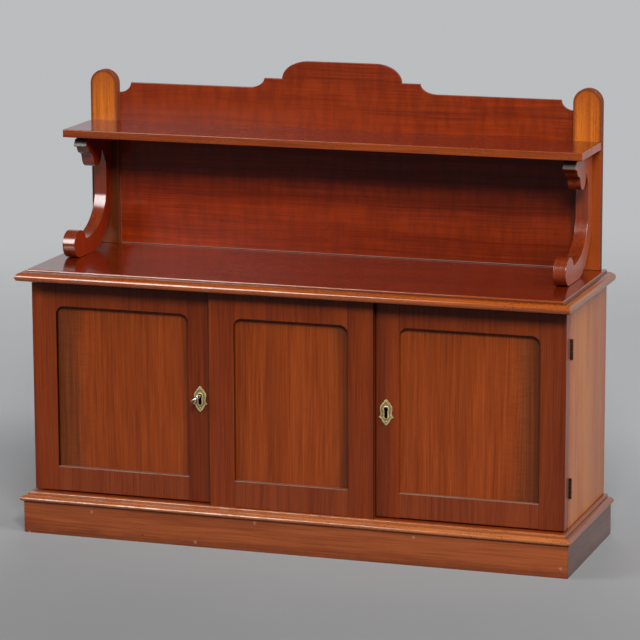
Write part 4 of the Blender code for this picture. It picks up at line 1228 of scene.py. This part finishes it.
def screw_head(name, radius):
    """A slotted countersunk head that faces -Y at the origin, flush with the plane of its face."""
    depth = radius * 0.55
    profile = [(0, 0), (radius * 0.86, 0), (radius, radius * 0.12), (radius * 0.5, depth), (0, depth)]
    head = turned(name, [(out, y, 0) for out, y in profile], (0, 0, 0), (0, 1, 0))
    wide = radius * 0.14
    slot = block("slot", (-2 * radius, -depth, -wide), (2 * radius, depth * 0.4, wide))
    return combine(head, [slot])


KNUCKLES = 5
KNUCKLE_RADIUS = 0.0016
KNUCKLE_ARRIS = 0.00025
LEAF_ARRIS = 0.0003
TAB_LAP = 0.001  # of a knuckle's tab over its leaf
HINGE_PIN_RADIUS = 0.0011
HINGE_PIN_HOLE = 0.00125
HINGE_PIN_END = ((0.0008, 0.0005), (0, 0.0007))  # its rounding, as (out, beyond the knuckles)
HINGE_SCREW_LIFT = 0.009  # from the middle of a leaf
SEAT_LENGTH = 0.0016  # of the cutter for a screw's seat, half of it inside the leaf
HEAD_SUNK = 0.00008  # of a screw's head, below the leaf's face


class CUPBOARD_OT_hinges(bpy.types.Operator):
    """Model the butt hinges: two leaves with knuckles, a pin and slotted screws"""

    bl_idname = "cupboard.hinges"
    bl_label = "Hinges"

    def execute(self, context):
        sizes = context.scene.cupboard_sizes
        screw = screw_head("hinge_screw", sizes.screw_radius)
        for word, side in SIDES:
            for place in ("upper", "lower"):
                self.hinge(f"{word}_{place}_hinge", word, side, screw, sizes)
        bpy.data.objects.remove(screw, do_unlink=True)
        return {"FINISHED"}

    @staticmethod
    def hinge(prefix, word, side, screw, sizes):
        """One hinge: a leaf on the carcase and one on the door, each with its screws, and the pin."""
        axis_x, axis_y, _ = JOINTS[word + "_door_hinge"]["pos_m"]
        low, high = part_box(prefix + "_pin")
        middle = (low.z + high.z) / 2
        reach = (high.z - low.z) / 2
        step = (high.z - low.z) / KNUCKLES
        edge = axis_x - side * (KNUCKLE_RADIUS + FIT)
        gap = sizes.knuckle_gap
        for kind, toward, first, body in (("fixed", 1, 0, "carcase"), ("door", -1, 1, word + "_door")):
            node = f"{prefix}_{kind}_leaf"
            leaf_low, leaf_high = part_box(node)
            far_x = leaf_low.x if side > 0 else leaf_high.x
            face = axis_y + toward * LEAF_PLAY
            under = face + toward * LEAF_THICKNESS
            ys = sorted((face, under))
            xs = sorted((far_x, edge))
            leaf = block(node + "_brass", (xs[0], ys[0], low.z), (xs[1], ys[1], high.z))
            round_edges(leaf, LEAF_ARRIS, at("X", far_x), 2)
            rolls = []
            for index in range(first, KNUCKLES, 2):
                start = low.z + index * step + (gap if index else 0)
                end = low.z + (index + 1) * step - (gap if index < KNUCKLES - 1 else 0)
                tab = sorted((edge - side * TAB_LAP, axis_x))
                rolls.append(block("tab", (tab[0], ys[0], start), (tab[1], ys[1], end)))
                roll = rod("roll", KNUCKLE_RADIUS, end - start, (axis_x, axis_y, (start + end) / 2), "Z")
                round_edges(roll, KNUCKLE_ARRIS, segments=2)
                rolls.append(roll)
            combine(leaf, rolls, "UNION")
            bore = rod("bore", HINGE_PIN_HOLE, 4 * reach, (axis_x, axis_y, middle), "Z", 20)
            lifts = (-HINGE_SCREW_LIFT, HINGE_SCREW_LIFT)
            places = [((far_x + edge) / 2, face, middle + lift) for lift in lifts]
            seats = [rod("seat", sizes.screw_radius * 1.06, SEAT_LENGTH, spot, "Y", 24) for spot in places]
            combine(leaf, [bore] + seats)
            done(leaf, body, HINGE, "hinge", node)
            turn = 0 if toward > 0 else math.pi
            heads = []
            for index, (x, y, z) in enumerate(places):
                spin = math.radians(25 + 47 * index)
                heads.append(copied("head", screw, (x, y + toward * HEAD_SUNK, z), (0, spin, turn)))
            done(joined(node + "_screws", heads), body, HINGE, "hinge")
        end = [(HINGE_PIN_RADIUS, reach)] + [(out, reach + beyond) for out, beyond in HINGE_PIN_END]
        outline = [(out, -up) for out, up in reversed(end)] + end
        profile = [(axis_x + out, axis_y, middle + up) for out, up in outline]
        pin = turned(prefix + "_pin_brass", profile, (axis_x, axis_y, middle), (0, 0, 1), 20)
        done(pin, "carcase", HINGE, "hinge", prefix + "_pin")


def escutcheon_outline():
    """Knob, stepped shoulders, waist, ears and pointed tail about the key's axis, as (across, up)."""
    half = arc((0, 0.0111), (0.0031, 0.0031), 90, 0, 8)
    half += bezier((0.0034, 0.0104), (0.0040, 0.0101), (0.0056, 0.0099), (0.0057, 0.0086), 4)
    half += bezier((0.0060, 0.0072), (0.0069, 0.0068), (0.0094, 0.0044), (0.0094, 0.0012), 6)
    half += bezier((0.0094, 0.0006), (0.0092, -0.0036), (0.0080, -0.0056), (0.0083, -0.0084), 6)[1:]
    half += bezier((0.0086, -0.0094), (0.0094, -0.0108), (0.0104, -0.0114), (0.0112, -0.0121), 4)
    half += bezier((0.0107, -0.0128), (0.0094, -0.0134), (0.0079, -0.0139), (0.0072, -0.0152), 5)
    half += bezier((0.0067, -0.0164), (0.0054, -0.0190), (0.0030, -0.0219), (0.0007, -0.0243), 6)
    return half + [(-x, z) for x, z in reversed(half[1:])]


def field_outline():
    """The sunk field inside an escutcheon's rim, about the key's axis, as (across, up)."""
    half = arc((0, 0.0111), (0.0015, 0.0015), 90, -40, 6)
    half += bezier((0.0020, 0.0090), (0.0032, 0.0080), (0.0048, 0.0068), (0.0060, 0.0054), 4)
    half += bezier((0.0074, 0.0034), (0.0081, 0.0012), (0.0077, -0.0036), (0.0068, -0.0066), 6)
    half += bezier((0.0069, -0.0088), (0.0076, -0.0100), (0.0082, -0.0106), (0.0083, -0.0112), 4)
    half += bezier((0.0076, -0.0119), (0.0054, -0.0140), (0.0037, -0.0180), (0.0, -0.0222), 8)
    return half + [(-x, z) for x, z in reversed(half[1:-1])]


RIM_ARRIS = 0.0004
RING_WIDTH = 0.0018  # of the raised ring round the keyhole
RING_ARRIS = 0.0008
ESCUTCHEON_PINS = ((0.0111, 0.0011), (-0.0184, 0.0010))  # height above the key's axis, and radius
PIN_SUNK = 0.0002  # of the dome's foot, below the rim
PIN_DEPTH = 0.0008  # behind the dome's foot


class CUPBOARD_OT_escutcheons(bpy.types.Operator):
    """Model the cast escutcheons: raised rim, sunk field, raised ring round the keyhole and two pins"""

    bl_idname = "cupboard.escutcheons"
    bl_label = "Escutcheons"

    def execute(self, context):
        sizes = context.scene.cupboard_sizes
        axis = key_axis("left")
        low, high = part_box("left_escutcheon")
        front, back = low.y, high.y
        rim = facing(escutcheon_outline(), back, axis)
        plate = drawn("left_escutcheon_cast", rim, (0, front - back, 0))
        round_edges(plate, RIM_ARRIS, at("Y", front), 2)
        field = facing(field_outline(), front + sizes.field_depth, axis)
        combine(plate, [drawn("field", field, (0, -OVERSHOOT, 0))])
        ring = drawn("ring", facing(keyhole_outline(RING_WIDTH), back - FIT, axis), (0, front - back, 0))
        round_edges(ring, RING_ARRIS, at("Y", front - FIT))
        combine(plate, [ring], "UNION")
        hole = facing(keyhole_outline(), back - OVERSHOOT, axis)
        combine(plate, [drawn("hole", hole, (0, 2 * OVERSHOOT, 0))])
        pins = []
        for lift, radius in ESCUTCHEON_PINS:
            spot = Vector((axis.x, front + PIN_SUNK, axis.z + lift))
            outline = arc((0, 0), (radius, radius * 0.6), 90, 0, 6)
            outline += [(radius * 0.8, -PIN_DEPTH), (0, -PIN_DEPTH)]
            profile = [(spot.x + x, spot.y - y, spot.z) for x, y in outline]
            pins.append(turned("pin", profile, spot, (0, 1, 0), 16))
        pins = joined("left_escutcheon_pins", pins)
        for word, cast, heads in (
            ("right", mirrored("right_escutcheon_cast", plate), mirrored("right_escutcheon_pins", pins)),
            ("left", plate, pins),
        ):
            done(cast, word + "_door", BRASS, "brass", word + "_escutcheon")
            floor = front + sizes.field_depth
            refinish(cast, "brass_field", lambda face: abs(face.calc_center_median().y - floor) < SAME)
            # Painted shade on the keyhole's walls.
            refinish(cast, "recess", lambda face: in_keyhole(face, key_axis(word)))
            done(heads, word + "_door", BRASS, "brass")
        return {"FINISHED"}


LOCK_SCREW_RADIUS = 0.0024
LOCK_SCREW_PROUD = 0.0002  # of the case
LOCK_SCREWS = ((0.18, 0.12), (0.18, 0.88), (0.82, 0.12), (0.82, 0.88))  # shares of its width and height
LOCK_ARRIS = 0.0008
LOCK_WALL = 0.0012
LOCK_SLOT = 0.002  # how far the cutter for the bolt's slot goes into the case


class CUPBOARD_OT_locks(bpy.types.Operator):
    """Model the lock cases with their screws, and the bolts"""

    bl_idname = "cupboard.locks"
    bl_label = "Locks"

    def execute(self, context):
        screw = screw_head("lock_screw", LOCK_SCREW_RADIUS)
        for word, side in SIDES:
            body = word + "_door"
            low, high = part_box(word + "_lock_case")
            case = block(word + "_lock_case_iron", low, high)
            round_edges(case, LOCK_ARRIS, lambda e: not lies(e, "Y", low.y))
            wall = Vector((LOCK_WALL, 0, LOCK_WALL))
            hollow_low = low + wall - Vector((0, OVERSHOOT, 0))
            hollow_high = high - wall - Vector((0, LOCK_WALL, 0))
            bolt_low, bolt_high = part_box(word + "_lock_bolt")
            free = low.x if side > 0 else high.x
            slot_xs = sorted((free - side * OVERSHOOT, free + side * LOCK_SLOT))
            slot_low = (slot_xs[0], bolt_low.y - FIT, bolt_low.z - FIT)
            slot_high = (slot_xs[1], bolt_high.y + FIT / 2, bolt_high.z + FIT)
            combine(case, [block("hollow", hollow_low, hollow_high), block("slot", slot_low, slot_high)])
            done(case, body, IRON, "iron", word + "_lock_case")
            heads = []
            for across, up in LOCK_SCREWS:
                x, z = low.x + (high.x - low.x) * across, low.z + (high.z - low.z) * up
                turn = (0, 1.1 * across + up, math.pi)
                heads.append(copied("head", screw, (x, high.y + LOCK_SCREW_PROUD, z), turn))
            done(joined(word + "_lock_screws", heads), body, IRON, "iron")
            bolt = block(word + "_lock_bolt_iron", bolt_low, bolt_high)
            end = bolt_low.x if side > 0 else bolt_high.x
            round_edges(bolt, LOCK_ARRIS, at("X", end))
            done(bolt, word + "_bolt", IRON, "iron", word + "_lock_bolt")
        bpy.data.objects.remove(screw, do_unlink=True)
        return {"FINISHED"}


KEY_TURN = math.radians(58)  # at rest, clockwise from bit down, seen from the front
KEY_BIT = (0.0022, 0.0045, 0.0096)  # thickness, width and drop
KEY_WARD = (0.0018, 0.0027, 0.0068)  # from and to across the bit, and how far down it starts
KEY_COLLARS = (0.0006, 0.0034)  # where each collar starts, behind the bow
COLLAR_HALF = (0.0009, 0.0011)  # half of a collar's length, and how far it stands out
COLLARS_END = 0.0056  # where the plain shank starts, behind the bow
KEY_TIP = 0.0006  # chamfer of the shank's end
KEY_ARRIS = 0.0003
BOW_SHARE = 0.8  # of the bow's thickness that is left when it is flattened


class CUPBOARD_OT_key(bpy.types.Operator):
    """Model the key: ring bow, turned collars and shank, and a bit with one ward cut"""

    bl_idname = "cupboard.key"
    bl_label = "Key"

    def execute(self, context):
        axis = key_axis("left")
        low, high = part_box("key")
        start = low.y - axis.y
        end = high.y - axis.y
        wire = 0.0020
        bow = 0.0078
        neck = start + 2 * bow
        shank = 0.0021
        profile = [(0, neck - wire), (shank, neck - wire), (shank, neck)]
        for offset in KEY_COLLARS:
            profile.append((shank, neck + offset))
            for run, out in arc((COLLAR_HALF[0], 0), COLLAR_HALF, 180, 0, 8):
                profile.append((shank + out, neck + offset + run))
        profile += [(shank, neck + COLLARS_END), (shank, end - KEY_TIP), (shank - KEY_TIP, end), (0, end)]
        key = turned("key_steel", [(out, y, 0) for out, y in profile], (0, 0, 0), (0, 1, 0), 28)
        middle = (0, start + bow, 0)
        ring = added(
            "bow", bpy.ops.mesh.primitive_torus_add, major_segments=48, minor_segments=16,
            major_radius=bow - wire, minor_radius=wire, location=middle, rotation=(0, math.pi / 2, 0),
        )
        with shaping(ring, "SELECT"):
            bpy.ops.transform.resize(value=(BOW_SHARE, 1, 1), center_override=middle)
        door_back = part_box("left_lock_case")[0].y - axis.y
        thick, wide, drop = KEY_BIT
        near = door_back + FIT
        bit = block("bit", (-thick / 2, near, -drop), (thick / 2, near + wide, 0))
        round_edges(bit, KEY_ARRIS, segments=2)
        ward_low = (-OVERSHOOT, near + KEY_WARD[0], -OVERSHOOT)
        ward_high = (OVERSHOOT, near + KEY_WARD[1], -KEY_WARD[2])
        combine(bit, [block("ward", ward_low, ward_high)])
        combine(key, [ring, bit], "UNION")
        key.rotation_euler = (0, KEY_TURN, 0)
        key.location = axis
        activate(key)
        done(new_piece("key_steel"), "left_key", STEEL, "steel", "key")
        return {"FINISHED"}


# Stage

FLOOR_MIDDLE = (0, 0.45, 0)
FLOOR_RADIUS = 2.6
LAMPS = (  # name, place, size, power, and the kind of ray that misses it
    ("left_softbox", (-1.50, -2.62, 2.285), (1.0, 2.5), 89, "diffuse"),
    ("front_softbox", (1.50, -3.40, 3.00), (1.5, 1.1), 200, None),
    ("right_softbox", (2.90, -1.00, 2.40), (1.5, 1.5), 73, None),
    ("left_fill", (-2.60, -1.30, 2.20), (1.4, 1.4), 60, "glossy"),
    ("back_fill", (-0.90, 3.10, 1.90), (1.6, 1.2), 42, "glossy"),
)
LIT_POINT = (0, 0, 0.35)  # that every lamp faces
CAMERA_PLACE = (1.5501, -4.5906, 1.3223)


class CUPBOARD_OT_stage(bpy.types.Operator):
    """Pale floor and backdrop, soft lights and the camera"""

    bl_idname = "cupboard.stage"
    bl_label = "Stage"

    def execute(self, context):
        scene = context.scene
        scene.view_settings.view_transform = "Standard"
        self.floor()
        for lamp in LAMPS:
            self.light(*lamp)
        scene.world = self.studio()
        self.camera(scene)
        return {"FINISHED"}

    @staticmethod
    def studio():
        """A pale studio with a dim ceiling, lower in front, and little light from either."""
        f = Finish("studio", "Background", "worlds")
        direction = f.node("ShaderNodeTexCoord", output="Generated")
        behind = f.ramp(f.part(direction, "Y"), -0.3, 0.5)
        height = f.part(direction, "Z")
        dark = f.ramp(height, -0.05, 0.02) * (1.0 - behind) + f.ramp(height, 0.35, 0.65) * behind
        pale = f.blend(behind, (0.20, 0.205, 0.21), (0.495, 0.507, 0.520))
        room = f.blend(dark, pale, (0.06, 0.06, 0.063))
        f.surface(Color=f.blend(f.shown(), (0.06, 0.062, 0.066), room), Strength=1.0)
        return f.material

    @staticmethod
    def floor():
        """A plain floor that fades into the studio, with painted shade in front and painted light towards the
        back.
        """
        f = Finish("floor_paint")
        place = f.place()
        sockets = {0: place, 1: FLOOR_MIDDLE}
        away = f.node("ShaderNodeVectorMath", {"operation": "DISTANCE"}, sockets, output="Value")
        depth = f.part(place, "Y") + f.part(place, "X") * -0.08
        # Painted light: the floor is darker in front and paler towards the back.
        far = f.ramp(depth, -0.8, 1.1) + (f.noise(place, 2.5, 3.0) - 0.5) * 0.1
        paint = f.blend(far, (0.171, 0.173, 0.175), (0.394, 0.400, 0.408))
        paint = f.blend(f.shown(), (0.10, 0.10, 0.10), paint)
        f.surface(Base_Color=paint, Roughness=0.8, Alpha=f.ramp(away, 1.1, 2.3, 1.0, 0.0))
        obj = added("floor", bpy.ops.mesh.primitive_circle_add, vertices=64, radius=FLOOR_RADIUS,
                    fill_type="NGON", location=FLOOR_MIDDLE)
        obj.data.materials.append(f.material)

    @staticmethod
    def light(name, place, size, power, missed):
        data = bpy.data.lights.new(name, "AREA")
        data.shape = "RECTANGLE"
        data.size, data.size_y = size
        data.energy = power
        lamp = bpy.data.objects.new(name, data)
        lamp.location = place
        lamp.rotation_euler = (Vector(LIT_POINT) - Vector(place)).to_track_quat("-Z", "Y").to_euler()
        if missed:
            setattr(lamp, "visible_" + missed, False)
        bpy.context.scene.collection.objects.link(lamp)

    @staticmethod
    def camera(scene):
        data = bpy.data.cameras.new("camera")
        data.sensor_width = 36.0
        data.lens = 186.12
        data.clip_end = 50.0
        yaw, pitch, roll = 0.324, -0.2019, -0.0037
        level = math.cos(pitch)
        forward = Vector((-math.sin(yaw) * level, math.cos(yaw) * level, math.sin(pitch)))
        right = Vector((math.cos(yaw), math.sin(yaw), 0))
        up = right.cross(forward)
        across = math.cos(roll) * right + math.sin(roll) * up
        upright = math.cos(roll) * up - math.sin(roll) * right
        camera = bpy.data.objects.new("camera", data)
        rows = [*zip(across, upright, -forward, CAMERA_PLACE), (0, 0, 0, 1)]
        camera.matrix_world = Matrix(rows)
        scene.collection.objects.link(camera)
        scene.camera = camera


OPERATORS = (
    CUPBOARD_OT_finishes,
    CUPBOARD_OT_plinth,
    CUPBOARD_OT_base_moulding,
    CUPBOARD_OT_moulded_top,
    CUPBOARD_OT_frames,
    CUPBOARD_OT_boards,
    CUPBOARD_OT_gallery,
    CUPBOARD_OT_brackets,
    CUPBOARD_OT_hinges,
    CUPBOARD_OT_escutcheons,
    CUPBOARD_OT_locks,
    CUPBOARD_OT_key,
    CUPBOARD_OT_stage,
)


class CUPBOARD_PT_panel(bpy.types.Panel):
    """Settings of the cupboard, and one button for each group of its pieces"""

    bl_idname = "CUPBOARD_PT_panel"
    bl_label = "Mahogany Cupboard"
    bl_space_type = "VIEW_3D"
    bl_region_type = "UI"
    bl_category = "Cupboard"

    def draw(self, context):
        for settings in (context.scene.cupboard_sizes, context.scene.cupboard_colours):
            for key in settings.__annotations__:
                self.layout.prop(settings, key)
        for operator in OPERATORS:
            self.layout.operator(operator.bl_idname)


CLASSES = (CupboardSizes, CupboardColours, *OPERATORS, CUPBOARD_PT_panel)


def register():
    for cls in CLASSES:
        bpy.utils.register_class(cls)
    bpy.types.Scene.cupboard_sizes = bpy.props.PointerProperty(type=CupboardSizes)
    bpy.types.Scene.cupboard_colours = bpy.props.PointerProperty(type=CupboardColours)


def unregister():
    del bpy.types.Scene.cupboard_colours
    del bpy.types.Scene.cupboard_sizes
    for cls in reversed(CLASSES):
        bpy.utils.unregister_class(cls)


def main():
    register()
    for operator in OPERATORS:
        group, name = operator.bl_idname.split(".")
        getattr(getattr(bpy.ops, group), name)()


if __name__ == "__main__":
    main()
